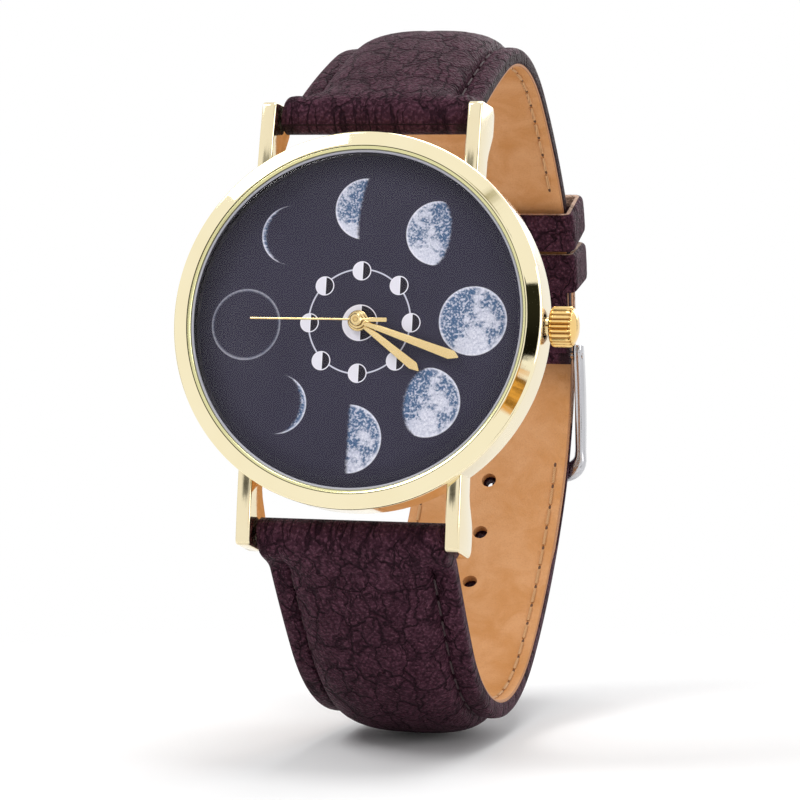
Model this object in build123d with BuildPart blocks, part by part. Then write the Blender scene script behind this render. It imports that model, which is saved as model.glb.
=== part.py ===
from build123d import *
import math
import os

os.makedirs("parts", exist_ok=True)

# A quartz wristwatch with moon phases on its dial, buckled and standing on its strap.
# Millimetres. +X points at the crown, +Z is up, and the dial looks towards -Y.
# The origin is the middle of the bottom of the whole watch.
# Heights h are measured from the outside of the case back towards the crystal.

# Overall stance
dial_tilt = 10.0

# Case
case_radius = 19.0
case_bottom = 0.6
case_wall_start = 2.2
case_top = 6.0
case_under_inset = 1.1
case_under_radius = case_radius - case_under_inset
case_wall = 2.75
movement_bore = case_radius - case_wall
dial_seat_height = 4.2
dial_wall = 2.0
dial_bore = case_radius - dial_wall
bezel_skirt_wall = 1.1
bezel_skirt_radius = case_radius - bezel_skirt_wall
bezel_skirt_bottom = 5.15
fit_gap = 0.05
cut_over = 1.0

# Bezel, crystal and its gasket
bezel_edge_height = 6.3
ridge_inset = 1.5
ridge_radius = case_radius - ridge_inset
ridge_height = 6.8
lip_inset = 1.85
lip_inner_radius = case_radius - lip_inset
lip_height = 6.45
seat_step = 0.35
seat_inner_radius = lip_inner_radius - seat_step
seat_height = 5.55
gasket_wall = 0.3
gasket_top = 6.5
crystal_edge_height = 6.6
crystal_chamfer = 0.2
crystal_dome = 0.4
crystal_hollow = 0.7
edge_round = 0.2

# Case back
back_wall = 1.75
back_radius = case_radius - back_wall
back_plate_top = 1.0
back_rim_width = 3.05
back_recess_radius = back_radius - back_rim_width
back_recess_depth = 0.15
back_lip_gap = 0.1
back_lip_outer = movement_bore - back_lip_gap
back_lip_wall = 0.55
back_lip_height = 0.55
back_gasket_inset = 0.3
back_gasket_width = 0.45
back_gasket_outer = back_radius - back_gasket_inset
back_gasket_inner = back_gasket_outer - back_gasket_width
back_gasket_depth = 0.35

# Lugs and their spring bars
strap_gap = 20.0
lug_width = 1.55
bar_stand_off = 2.6
bar_reach = case_radius + bar_stand_off
lug_overhang = 1.5
lug_reach = bar_reach + lug_overhang
lug_root_inset = 7.0
lug_root_reach = case_radius - lug_root_inset
lug_front_root = 5.55
lug_front_tip = 5.0
lug_rear_root = 1.7
lug_rear_tip = -0.35
lug_waist_inset = 2.0
lug_waist = case_radius - lug_waist_inset
lug_waist_height = 1.6
lug_belly_inset = 1.0
lug_belly = bar_reach - lug_belly_inset
lug_corner = 0.8
bar_height = 2.0
bar_tube_radius = 0.75
bar_tube_half = 9.0
plunger_radius = 0.4
plunger_inner_half = 7.0
plunger_outer_half = 11.0
plunger_travel = 1.1
bar_spring_radius = 0.38
running_gap = 0.05

# Dial and hands
dial_radius = dial_bore - fit_gap
dial_thickness = 0.4
dial_hole = 0.95
dial_foot_radius = 0.35
dial_foot_length = 1.0
dial_foot_reach = 11.2
rehaut_width = 0.2
rehaut_inner = dial_radius - rehaut_width
hour_hand_height = 5.0
minute_hand_height = 5.4
second_hand_height = 5.8
hand_thickness = 0.14
hour_hand_reach = 8.1
hour_hand_tail = 1.6
hour_hand_root = 0.6
hour_hand_wide = 1.05
minute_hand_reach = 11.25
minute_hand_tail = 1.6
minute_hand_root = 0.5
minute_hand_wide = 0.95
hand_tip_width = 0.16
widest_share = 0.7
second_hand_reach = 11.05
second_hand_tail = 3.2
second_hand_width = 0.2
second_cap_radius = 0.62
second_cap_height = 0.28
hand_boss_radius = 1.05
minute_boss_radius = 0.85
hour_clock_angle = 127.0
minute_clock_angle = 108.7
second_clock_angle = 269.9

# Crown and stem, at three o'clock
stem_height = 3.2
stem_radius = 0.45
stem_square = 0.6
stem_inner = 6.7
stem_square_start = 8.6
crown_radius = 2.0
crown_gap = 0.3
crown_start = case_radius + crown_gap
crown_length = 2.2
crown_dome = 0.6
crown_recess_radius = 1.3
crown_recess_depth = 1.5
crown_flutes = 24
crown_flute_radius = 0.17
crown_tube_radius = 0.9
crown_tube_bore = 0.5
crown_tube_inner = movement_bore
crown_tube_clearance = 0.4
crown_tube_outer = crown_start + crown_recess_depth - crown_tube_clearance
crown_gasket_length = 0.4
crown_bevel = 0.25
crown_dome_taper = 50.0
stem_hold = 0.4
clutch_radius = 0.75
clutch_start = 7.1
clutch_length = 0.9
clutch_teeth = 12
clutch_tooth_depth = 0.15
clutch_room = 0.3

# Movement
plate_radius = 12.8
plate_bottom = 3.0
plate_top = 4.1
holder_bottom = 1.7
holder_gap = 0.1
bridge_bottom = 1.5
bridge_top = 1.9
bridge_radius = 6.6
motion_recess_height = 3.6
wheel_thickness = 0.15
arbor_radius = 0.12
bearing_gap = 0.03
train_module = 0.1
fast_module = 0.08
tooth_height_share = 0.8
tooth_depth_share = 1.0
tooth_root_share = 0.58
tooth_tip_share = 0.26
rotor_pinion_teeth = 8
intermediate_teeth = 40
intermediate_pinion_teeth = 10
second_teeth = 60
second_pinion_teeth = 8
third_teeth = 60
third_pinion_teeth = 8
centre_teeth = 64
cannon_teeth = 10
minute_wheel_teeth = 30
minute_pinion_teeth = 8
hour_teeth = 32
setting_teeth = 30
third_angle = 150.0
intermediate_angle = 330.0
rotor_angle = 270.0
low_wheel_level = 2.1
second_wheel_level = 2.55
centre_wheel_level = 2.78
minute_wheel_level = 3.66
hour_wheel_level = 3.9
pinion_gap = 0.06
pivot_depth = 0.4
wheel_room = 0.3
block_middle = 10.8
block_length = 3.0
block_width = 3.0
block_depth = 0.7
bridge_coil_cut = 2.0
cell_step = 0.3
cell_rim_share = 0.82
rotor_magnet_radius = 0.6
rotor_magnet_bottom = 2.5
rotor_magnet_top = 2.92
second_arbor_radius = 0.2
centre_tube_radius = 0.5
centre_tube_bore = 0.25
hour_tube_radius = 0.8
hour_tube_bore = 0.55
battery_radius = 3.95
battery_thickness = 2.1
battery_bottom = 1.45
battery_reach = 8.4
battery_angle = 215.0
battery_gap = 0.08
clamp_width = 2.4
clamp_thickness = 0.2
clamp_reach = 6.0
coil_radius = 0.6
coil_half = 3.6
coil_x = 3.0
coil_y = -8.8
core_overhang = 1.2
core_width = 0.8
core_thickness = 0.45
core_bottom = 2.15
stator_thickness = 0.4
stator_bore = 0.75
stator_ring = 1.15
stator_leg = 0.9
board_bottom = 2.8
board_thickness = 0.2
board_half_width = 5.6
board_inner = 6.9
board_outer = 10.9
chip_size = 1.8
chip_height = 0.5
chip_x = 3.4
can_radius = 0.5
can_length = 5.0
can_x = -1.6
can_y = 8.7
screw_head_radius = 0.6
screw_head_height = 0.25
screw_radius = 0.3
screw_length = 1.9
pillar_radius = 0.75
pillar_reach = 5.6
pillar_angles = [60.0, 262.0, 18.0]
clamp_screw_angle = 250.0
clamp_screw_reach = 11.0

# Strap, as bends of its seam, the line where the leather meets the lining
leather_thickness = 0.9
lining_thickness = 1.0
padding_thickness = 2.0
strap_half_width = 9.8
clasp_half_width = 9.0
crown_half_width = 6.9
padding_half_width = 6.1
short_heading = -50.0
short_radii = [92.1, 20.1, 78.0, 13.0, 44.0]
short_turns = [10.4, 55.1, 11.3, 22.5, 19.5]
long_heading = -136.4
long_radii = [149.1, 22.4]
long_turns = [6.0, 86.0]
layer_gap = 0.3
join_lead = 2.0
tail_length = 18.0
tail_round = 6.0
short_padding_length = 50.0
long_padding_length = 54.0
padding_ramp = 6.0
fold_length = 12.0
fold_thickness = 0.6
clasp_roll_radius = 1.1
hole_radius = 0.85
hole_pitch = 7.2
hole_steps = [-3, -2, -1, 1, 2]
slot_length = 6.2
slot_width = 2.3
slot_back = 8.8
stitch_pitch = 3.2
stitch_length = 2.2
stitch_width = 0.35
stitch_height = 0.22
stitch_inset = 1.3
stitch_start = 5.0
short_stitch_end = 50.0
long_stitch_end = 70.0
strap_room = 60.0

# Keepers
keeper_width = 4.6
keeper_thickness = 0.9
keeper_gap = 0.35
fixed_keeper_back = 10.2
keeper_spacing = 0.7
keeper_round = 0.8

# Buckle
buckle_arm = 1.2
buckle_side_gap = 0.3
buckle_reach = 14.0
far_bar_depth = 2.2
far_bar_height = 1.4
far_bar_lift = 0.35
buckle_heel = 0.9
buckle_root_half = 1.0
buckle_bow_high = 2.7
buckle_bow_low = 0.7
buckle_round = 0.35
buckle_bar_radius = 0.5
tongue_width = 1.6
tongue_thickness = 0.8
tongue_eye_radius = 1.02
tongue_low_run = 6.6
tongue_rise_end = 11.3
tongue_overhang = 1.4
tongue_rest_gap = 0.05
tongue_side_gap = 0.3

def on_movement(radius, angle):
    turn = math.radians(angle)
    return radius * math.cos(turn), radius * math.sin(turn)


# The strap's side outline is a chain of arcs, each one its centre, radius, first angle and sweep.
# Points are (towards twelve, height), and all the arcs bend towards the wrist.
def heading_after(arc):
    angle = arc[2] + arc[3]
    spin = math.copysign(1, arc[3])
    return Vector(-math.sin(angle), math.cos(angle)) * spin


def bend_path(start, heading, radii, turns, spin):
    arcs = []
    point = start
    direction = Vector(math.cos(math.radians(heading)), math.sin(math.radians(heading)))
    for radius, turn in zip(radii, turns):
        inward = Vector(-direction.Y, direction.X) * spin
        centre = point + inward * radius
        first = math.atan2(-inward.Y, -inward.X)
        arcs.append((centre, radius, first, spin * math.radians(turn)))
        last = first + spin * math.radians(turn)
        point = centre + Vector(math.cos(last), math.sin(last)) * radius
        direction = heading_after(arcs[-1])
    return arcs


def arc_between(start, direction, end):
    normal = Vector(-direction.Y, direction.X)
    chord = end - start
    radius = chord.dot(chord) / (2 * chord.dot(normal))
    centre = start + normal * radius
    first = math.atan2(start.Y - centre.Y, start.X - centre.X)
    last = math.atan2(end.Y - centre.Y, end.X - centre.X)
    sweep = (last - first + math.pi) % (2 * math.pi) - math.pi
    return centre, abs(radius), first, sweep


# Two tangent arcs from one point and direction to another
def smooth_join(start, direction, end, end_direction):
    chord = end - start
    both = direction + end_direction
    a = 2 * (direction.dot(end_direction) - 1)
    b = -2 * chord.dot(both)
    c = chord.dot(chord)
    reach = (-b - math.sqrt(b * b - 4 * a * c)) / (2 * a)
    middle = (start + direction * reach + end - end_direction * reach) / 2
    first_arc = arc_between(start, direction, middle)
    return [first_arc, arc_between(middle, heading_after(first_arc), end)]


def path_length(arcs):
    return sum(arc[1] * abs(arc[3]) for arc in arcs)


# Where the path is after a length: the point, raised by an offset, its heading and the way out
def along(arcs, length, offset=0):
    left = length
    for index, (centre, radius, first, sweep) in enumerate(arcs):
        span = radius * abs(sweep)
        if left <= span or index == len(arcs) - 1:
            angle = first + math.copysign(left / radius, sweep)
            out = Vector(math.cos(angle), math.sin(angle))
            heading = Vector(-out.Y, out.X) * math.copysign(1, sweep)
            return centre + out * (radius + offset), heading, out
        left -= span


def stretch(arcs, start, end):
    pieces = []
    passed = 0
    for index, (centre, radius, first, sweep) in enumerate(arcs):
        span = radius * abs(sweep)
        low = max(start - passed, 0)
        high = end - passed if index == len(arcs) - 1 else min(end - passed, span)
        if high > low:
            pieces.append(
                (
                    centre,
                    radius,
                    first + math.copysign(low / radius, sweep),
                    math.copysign((high - low) / radius, sweep),
                )
            )
        passed += span
    return pieces


def to_world(point):
    return head.origin + head.y_dir * point.X + head.z_dir * point.Y


def turn_to_world(vector):
    return head.y_dir * vector.X + head.z_dir * vector.Y


# A plane across the strap, its first axis pointing out of the loop
def cross_plane(arcs, length):
    point, heading, out = along(arcs, length)
    return Plane(
        origin=to_world(point), x_dir=turn_to_world(out), z_dir=turn_to_world(heading)
    )


# A plane lying on the strap, with its normal pointing out of the loop
def lying_plane(arcs, length):
    point, _, out = along(arcs, length)
    return Plane(origin=to_world(point), x_dir=head.x_dir, z_dir=turn_to_world(out))


# The face between two offsets of the path, in the plane of the side outline.
# The outer offset may stop short by a ramp, which slants the end.
def band(arcs, start, end, low, high, ramp=0, plane=None):
    with BuildSketch(plane or side) as face:
        with BuildLine():
            corners = []
            for offset, stop, order in ((low, end, 1), (high, end - ramp, -1)):
                run = stretch(arcs, start, stop)
                for centre, radius, first, sweep in run:
                    places = [
                        centre
                        + Vector(math.cos(angle), math.sin(angle)) * (radius + offset)
                        for angle in (first, first + sweep / 2, first + sweep)
                    ]
                    ThreePointArc(*places)
                    corners.append((order, places[0], places[2]))
            inner = [corner for corner in corners if corner[0] == 1]
            outer = [corner for corner in corners if corner[0] == -1]
            Line(inner[0][1], outer[0][1])
            Line(inner[-1][2], outer[-1][2])
        make_face()
    return face.sketch


def disc_on_side(centre, radius):
    with BuildSketch(side) as face:
        with Locations((centre.X, centre.Y)):
            Circle(radius)
    return face.sketch


# The outline that narrows the strap from the case to the clasp
def taper_outline():
    with BuildSketch(top_view) as face:
        with BuildLine():
            Polyline(
                (-strap_half_width, -case_radius),
                (strap_half_width, -case_radius),
                (strap_half_width, -bar_height),
                (clasp_half_width, -taper_low),
                (-clasp_half_width, -taper_low),
                (-strap_half_width, -bar_height),
                close=True,
            )
        make_face()
    return face.sketch


def half_width_at(point):
    depth_share = (bar_height - point.Y) / (bar_height - taper_low)
    return strap_half_width + (clasp_half_width - strap_half_width) * min(max(depth_share, 0), 1)


# Gear teeth as a ring of trapezoids, with one tooth pointing along the given angle
def gear_points(teeth, module, facing):
    pitch_radius = teeth * module / 2
    root = pitch_radius - tooth_depth_share * module
    tip = pitch_radius + tooth_height_share * module
    pitch_angle = 2 * math.pi / teeth
    points = []
    for index in range(teeth):
        middle = math.radians(facing) + index * pitch_angle
        for radius, share in (
            (root, -tooth_root_share / 2),
            (tip, -tooth_tip_share / 2),
            (tip, tooth_tip_share / 2),
            (root, tooth_root_share / 2),
        ):
            angle = middle + share * pitch_angle
            points.append((radius * math.cos(angle), radius * math.sin(angle)))
    return points


def gear_face(height, centre, teeth, module, facing=0):
    with BuildSketch(head.offset(height)) as face:
        with Locations(centre):
            Polygon(*gear_points(teeth, module, facing), align=None)
    return face.sketch


def disc(height, centre, radius, bore=0):
    with BuildSketch(head.offset(height)) as face:
        with Locations(centre):
            Circle(radius)
            if bore:
                Circle(bore, mode=Mode.SUBTRACT)
    return face.sketch


# A point on the shallow arc of a dome, half way from its middle to its edge
def dome_point(radius, rise, level):
    bend = (radius * radius + rise * rise) / (2 * rise)
    half = math.asin(radius / bend) / 2
    return bend * math.sin(half), level + rise - bend * (1 - math.cos(half))


def save(part, label):
    part.label = label
    export_step(part, "parts/" + label + ".step")


# The plane of the case back is tilted back, and the watch stands on its long strap half.
# Places on the watch are worked out first in the head's own axes.
crown_end = crown_start + crown_length + crown_dome
tilt = math.radians(dial_tilt)
roll_radius = (leather_thickness + padding_thickness + lining_thickness) / 2
roll_offset = leather_thickness + padding_thickness - roll_radius
short_out = Vector(-math.sin(math.radians(short_heading)), math.cos(math.radians(short_heading)))
long_out = Vector(math.sin(math.radians(long_heading)), -math.cos(math.radians(long_heading)))
short_bar = Vector(bar_reach, bar_height)
long_bar = Vector(-bar_reach, bar_height)
short_path = bend_path(short_bar - short_out * roll_offset, short_heading, short_radii, short_turns, -1)
short_end = path_length(short_path)
layer_rise = leather_thickness + layer_gap + lining_thickness
meet_point, meet_heading, meet_out = along(short_path, short_end - join_lead, layer_rise)
long_path = bend_path(long_bar - long_out * roll_offset, long_heading, long_radii, long_turns, 1)
long_lead_end, long_lead_heading, _ = along(long_path, path_length(long_path))
long_path += smooth_join(long_lead_end, long_lead_heading, meet_point, meet_heading * -1)
meet_length = path_length(long_path)
last_bend = short_path[-1]
meet_angle = math.atan2(meet_out.Y, meet_out.X)
tail_radius = last_bend[1] + layer_rise
long_path.append((last_bend[0], tail_radius, meet_angle, tail_length / tail_radius))
long_end = meet_length + tail_length
taper_low = (last_bend[0] - Vector(0, tail_radius + leather_thickness + keeper_width)).Y


# The row's own up and back directions, for a point in the head's axes
def up_of(point):
    return point.X * math.cos(tilt) + point.Y * math.sin(tilt)


def back_of(point):
    return point.X * math.sin(tilt) - point.Y * math.cos(tilt)


foot_bend = long_path[1]
stand_height = foot_bend[1] + leather_thickness + padding_thickness - up_of(foot_bend[0])
front_reach = ridge_radius * math.sin(tilt) + ridge_height * math.cos(tilt)
keeper_stack = layer_rise + leather_thickness + keeper_gap + keeper_thickness
fixed_keeper_place = short_end - fixed_keeper_back
keeper_top, keeper_heading, _ = along(short_path, fixed_keeper_place, keeper_stack)
back_reach = back_of(keeper_top + keeper_heading * (keeper_width / 2))
head = Plane(
    origin=((case_radius - crown_end) / 2, (front_reach - back_reach) / 2, stand_height),
    x_dir=(1, 0, 0),
    z_dir=(0, -math.cos(tilt), math.sin(tilt)),
)
side = Plane(origin=head.origin, x_dir=head.y_dir, z_dir=head.x_dir)
top_view = Plane(origin=head.origin, x_dir=head.x_dir, z_dir=head.y_dir)
stem_line = Plane(origin=to_world(Vector(0, stem_height)), x_dir=head.y_dir, z_dir=head.x_dir)
around_head = Axis(head.origin, head.z_dir)
profile = Plane(origin=head.origin, x_dir=head.x_dir, z_dir=-head.y_dir)

# Case middle, with the lugs
case_points = [
    (case_under_radius, case_bottom),
    (back_radius + fit_gap, case_bottom),
    (back_radius + fit_gap, back_plate_top),
    (movement_bore, back_plate_top),
    (movement_bore, dial_seat_height),
    (dial_bore, dial_seat_height),
    (dial_bore, bezel_skirt_bottom - fit_gap),
    (bezel_skirt_radius + fit_gap, bezel_skirt_bottom - fit_gap),
    (bezel_skirt_radius + fit_gap, case_top),
    (case_radius, case_top),
    (case_radius, case_wall_start),
]
under_bulge = math.sqrt(0.5)
under_height = case_wall_start - case_bottom
under_depth = case_radius - case_under_radius
under_middle = (
    case_under_radius + under_depth * under_bulge,
    case_wall_start - under_height * under_bulge,
)
lug_inner = strap_gap / 2
with BuildPart() as lug:
    for flip in (1, -1):
        with BuildSketch(side.offset(lug_inner)) as lug_sketch:
            with BuildLine():
                Line((lug_root_reach * flip, lug_rear_root), (lug_root_reach * flip, lug_front_root))
                Line((lug_root_reach * flip, lug_front_root), (lug_reach * flip, lug_front_tip))
                Line((lug_reach * flip, lug_front_tip), (lug_reach * flip, lug_rear_tip))
                Spline(
                    (lug_reach * flip, lug_rear_tip),
                    (lug_belly * flip, lug_rear_tip),
                    (lug_waist * flip, lug_waist_height),
                    (lug_root_reach * flip, lug_rear_root),
                )
            make_face()
        extrude(amount=lug_width)
    mirror(about=Plane(origin=head.origin, z_dir=head.x_dir))
    tips = lug.edges().filter_by(Axis.X).filter_by(
        lambda edge: abs((edge.center() - head.origin).dot(head.y_dir)) > lug_belly
    )
    fillet(tips, lug_corner)
with BuildPart() as case_middle:
    with BuildSketch(profile):
        with BuildLine():
            Polyline(*case_points)
            ThreePointArc(case_points[-1], under_middle, case_points[0])
        make_face()
    revolve(axis=around_head)
    add(lug.part)
    extrude(disc(back_plate_top, (0, 0), movement_bore), amount=dial_seat_height, mode=Mode.SUBTRACT)
    extrude(
        disc(case_bottom - cut_over, (0, 0), back_radius + fit_gap),
        amount=back_plate_top - case_bottom + cut_over,
        mode=Mode.SUBTRACT,
    )
    extrude(disc(dial_seat_height, (0, 0), dial_bore), amount=case_top, mode=Mode.SUBTRACT)
    extrude(
        disc(bezel_skirt_bottom - fit_gap, (0, 0), bezel_skirt_radius + fit_gap),
        amount=case_top,
        mode=Mode.SUBTRACT,
    )
    for reach in (bar_reach, -bar_reach):
        extrude(
            disc_on_side(Vector(reach, bar_height), plunger_radius + running_gap),
            amount=plunger_outer_half + running_gap,
            both=True,
            mode=Mode.SUBTRACT,
        )
    with BuildSketch(stem_line.offset(crown_tube_inner - cut_over)):
        Circle(crown_tube_radius)
    extrude(amount=crown_start, mode=Mode.SUBTRACT)
save(case_middle.part, "case_middle")

# Bezel with its sloping top and the lip round the glass
with BuildPart() as bezel:
    with BuildSketch(profile):
        with BuildLine():
            Polyline(
                (seat_inner_radius, bezel_skirt_bottom),
                (bezel_skirt_radius, bezel_skirt_bottom),
                (bezel_skirt_radius, case_top),
                (case_radius, case_top),
                (case_radius, bezel_edge_height),
                (ridge_radius, ridge_height),
                (lip_inner_radius, lip_height),
                (lip_inner_radius, seat_height),
                (seat_inner_radius, seat_height),
                close=True,
            )
        make_face()
    revolve(axis=around_head)
    outer_edges = bezel.edges().filter_by(GeomType.CIRCLE).sort_by(SortBy.RADIUS)[-1:]
    fillet(outer_edges, edge_round)
save(bezel.part, "bezel")

# White gasket between glass and bezel, and the domed glass
crystal_radius = lip_inner_radius - gasket_wall
flat_radius = crystal_radius - crystal_chamfer
with BuildPart() as crystal_gasket:
    extrude(disc(seat_height, (0, 0), lip_inner_radius, crystal_radius), amount=gasket_top - seat_height)
save(crystal_gasket.part, "crystal_gasket")
with BuildPart() as crystal:
    with BuildSketch(profile):
        with BuildLine():
            Line((0, seat_height + crystal_hollow), (0, crystal_edge_height + crystal_dome))
            ThreePointArc(
                (0, crystal_edge_height + crystal_dome),
                dome_point(flat_radius, crystal_dome, crystal_edge_height),
                (flat_radius, crystal_edge_height),
            )
            Polyline(
                (flat_radius, crystal_edge_height),
                (crystal_radius, crystal_edge_height - crystal_chamfer),
                (crystal_radius, seat_height),
            )
            ThreePointArc(
                (crystal_radius, seat_height),
                dome_point(crystal_radius, crystal_hollow, seat_height),
                (0, seat_height + crystal_hollow),
            )
        make_face()
    revolve(axis=around_head)
save(crystal.part, "crystal")

# Ring that holds the dial down under the glass
with BuildPart() as dial_ring:
    extrude(
        disc(dial_seat_height + dial_thickness, (0, 0), dial_radius, rehaut_inner),
        amount=bezel_skirt_bottom - dial_seat_height - dial_thickness,
    )
save(dial_ring.part, "dial_ring")

# Snap-on case back and its gasket
with BuildPart() as case_back:
    extrude(disc(0, (0, 0), back_radius), amount=back_plate_top)
    extrude(disc(0, (0, 0), back_recess_radius), amount=back_recess_depth, mode=Mode.SUBTRACT)
    extrude(
        disc(back_plate_top, (0, 0), back_lip_outer, back_lip_outer - back_lip_wall),
        amount=back_lip_height,
    )
    extrude(
        disc(back_plate_top - back_gasket_depth, (0, 0), back_gasket_outer, back_gasket_inner),
        amount=back_gasket_depth,
        mode=Mode.SUBTRACT,
    )
    back_rims = case_back.edges().filter_by(GeomType.CIRCLE).filter_by(
        lambda edge: abs((edge.arc_center - head.origin).dot(head.z_dir)) < fit_gap
    )
    fillet(back_rims.sort_by(SortBy.RADIUS)[-1:], edge_round)
save(case_back.part, "case_back")
with BuildPart() as back_gasket:
    extrude(
        disc(back_plate_top - back_gasket_depth, (0, 0), back_gasket_outer, back_gasket_inner),
        amount=back_gasket_depth,
    )
save(back_gasket.part, "back_gasket")

# Dial with two feet
foot_places = [(0, dial_foot_reach), (0, -dial_foot_reach)]
with BuildPart() as dial:
    extrude(disc(dial_seat_height, (0, 0), dial_radius, dial_hole), amount=dial_thickness)
    for place in foot_places:
        extrude(
            disc(dial_seat_height - dial_foot_length, place, dial_foot_radius),
            amount=dial_foot_length,
        )
save(dial.part, "dial")


# A baton hand that widens towards its tip, then runs to a point
def baton(height, clock_angle, reach, tail, root, wide, boss, bore):
    turned = Plane(
        origin=to_world(Vector(0, height)),
        x_dir=head.x_dir * math.sin(math.radians(clock_angle))
        + head.y_dir * math.cos(math.radians(clock_angle)),
        z_dir=head.z_dir,
    )
    with BuildSketch(turned) as face:
        with BuildLine():
            Polyline(
                (-tail, root / 2),
                (0, root / 2),
                (reach * widest_share, wide / 2),
                (reach, hand_tip_width / 2),
                (reach, -hand_tip_width / 2),
                (reach * widest_share, -wide / 2),
                (0, -root / 2),
                (-tail, -root / 2),
                close=True,
            )
        make_face()
        Circle(boss)
        Circle(bore, mode=Mode.SUBTRACT)
    return face.sketch


with BuildPart() as hour_hand:
    extrude(
        baton(
            hour_hand_height,
            hour_clock_angle,
            hour_hand_reach,
            hour_hand_tail,
            hour_hand_root,
            hour_hand_wide,
            hand_boss_radius,
            hour_tube_radius,
        ),
        amount=hand_thickness,
    )
save(hour_hand.part, "hour_hand")
with BuildPart() as minute_hand:
    extrude(
        baton(
            minute_hand_height,
            minute_clock_angle,
            minute_hand_reach,
            minute_hand_tail,
            minute_hand_root,
            minute_hand_wide,
            minute_boss_radius,
            centre_tube_radius,
        ),
        amount=hand_thickness,
    )
save(minute_hand.part, "minute_hand")
with BuildPart() as second_hand:
    extrude(
        baton(
            second_hand_height,
            second_clock_angle,
            second_hand_reach,
            second_hand_tail,
            second_hand_width,
            second_hand_width,
            second_cap_radius,
            second_arbor_radius,
        ),
        amount=hand_thickness,
    )
    extrude(
        disc(second_hand_height, (0, 0), second_cap_radius, second_arbor_radius),
        amount=second_cap_height,
    )
save(second_hand.part, "second_hand")

# Crown, its tube, gasket and stem
tube_run = running_gap * 2
with BuildPart() as crown_tube:
    with BuildSketch(stem_line.offset(crown_tube_inner)):
        Circle(crown_tube_radius)
        Circle(crown_tube_bore, mode=Mode.SUBTRACT)
    extrude(amount=crown_tube_outer - crown_tube_inner)
save(crown_tube.part, "crown_tube")
with BuildPart() as crown:
    with BuildSketch(stem_line.offset(crown_start)):
        Circle(crown_radius)
    extrude(amount=crown_length)
    rims = crown.edges().filter_by(GeomType.CIRCLE)
    chamfer(rims, crown_bevel)
    with BuildSketch(stem_line.offset(crown_start + crown_length)):
        Circle(crown_radius - crown_bevel)
    extrude(amount=crown_dome, taper=crown_dome_taper)
    with BuildSketch(stem_line.offset(crown_start)):
        with PolarLocations(crown_radius, crown_flutes):
            Circle(crown_flute_radius)
    extrude(amount=crown_length, mode=Mode.SUBTRACT)
    with BuildSketch(stem_line.offset(crown_start)):
        Circle(crown_recess_radius)
        Circle(stem_radius, mode=Mode.SUBTRACT)
    extrude(amount=crown_recess_depth, mode=Mode.SUBTRACT)
    with BuildSketch(stem_line.offset(crown_start)):
        Circle(stem_radius)
    extrude(amount=crown_recess_depth + stem_hold, mode=Mode.SUBTRACT)
save(crown.part, "crown")
with BuildPart() as crown_gasket:
    with BuildSketch(stem_line.offset(crown_start)):
        Circle(crown_recess_radius)
        Circle(crown_tube_radius + running_gap, mode=Mode.SUBTRACT)
    extrude(amount=crown_gasket_length)
save(crown_gasket.part, "crown_gasket")
with BuildPart() as stem:
    with BuildSketch(stem_line.offset(stem_square_start)):
        Circle(stem_radius)
    extrude(amount=crown_start + crown_recess_depth + stem_hold - stem_square_start)
    with BuildSketch(stem_line.offset(stem_inner)):
        Rectangle(stem_square, stem_square)
    extrude(amount=stem_square_start - stem_inner)
save(stem.part, "stem")

# Sliding wheel on the square of the stem, with face teeth at its inner end
with BuildPart() as clutch_wheel:
    with BuildSketch(stem_line.offset(clutch_start)):
        Circle(clutch_radius)
    extrude(amount=clutch_length)
    with BuildSketch(stem_line.offset(clutch_start)):
        with PolarLocations(clutch_radius, clutch_teeth):
            Circle(clutch_tooth_depth)
    extrude(amount=clutch_length, mode=Mode.SUBTRACT)
    with BuildSketch(stem_line.offset(clutch_start)):
        Rectangle(stem_square + tube_run, stem_square + tube_run)
    extrude(amount=clutch_length, mode=Mode.SUBTRACT)
save(clutch_wheel.part, "clutch_wheel")

# Movement: where the axes stand, looking at the dial
centre = (0, 0)
second_reach = (intermediate_pinion_teeth + second_teeth) * train_module / 2
third_reach = (second_pinion_teeth + third_teeth) * train_module / 2
rotor_reach = (rotor_pinion_teeth + intermediate_teeth) * fast_module / 2
centre_module = 2 * third_reach / (third_pinion_teeth + centre_teeth)
minute_reach = (cannon_teeth + minute_wheel_teeth) * train_module / 2
setting_reach = minute_reach + (minute_wheel_teeth + setting_teeth) * train_module / 2
third_place = on_movement(third_reach, third_angle)
intermediate_place = on_movement(second_reach, intermediate_angle)
rotor_shift = on_movement(rotor_reach, rotor_angle)
rotor_place = (intermediate_place[0] + rotor_shift[0], intermediate_place[1] + rotor_shift[1])
minute_place = (minute_reach, 0)
setting_place = (setting_reach, 0)
battery_place = on_movement(battery_reach, battery_angle)
clamp_screw_place = on_movement(clamp_screw_reach, clamp_screw_angle)
pillar_places = [on_movement(pillar_reach, angle) for angle in pillar_angles]
chip_place = (chip_x, can_y)
bearing_radius = arbor_radius + bearing_gap
arbor_places = [third_place, intermediate_place, rotor_place]
battery_bore = battery_radius + battery_gap
core_middle = core_bottom + core_thickness / 2

# Plastic ring that holds the movement in the case
holder_inner = plate_radius + holder_gap
holder_outer = movement_bore - running_gap
with BuildPart() as movement_ring:
    extrude(
        disc(holder_bottom, centre, holder_outer, holder_inner),
        amount=plate_top - holder_bottom,
    )
    with BuildSketch(stem_line.offset(plate_radius)):
        Circle(stem_radius + tube_run)
    extrude(amount=movement_bore - plate_radius + cut_over, mode=Mode.SUBTRACT)
save(movement_ring.part, "movement_ring")

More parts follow.
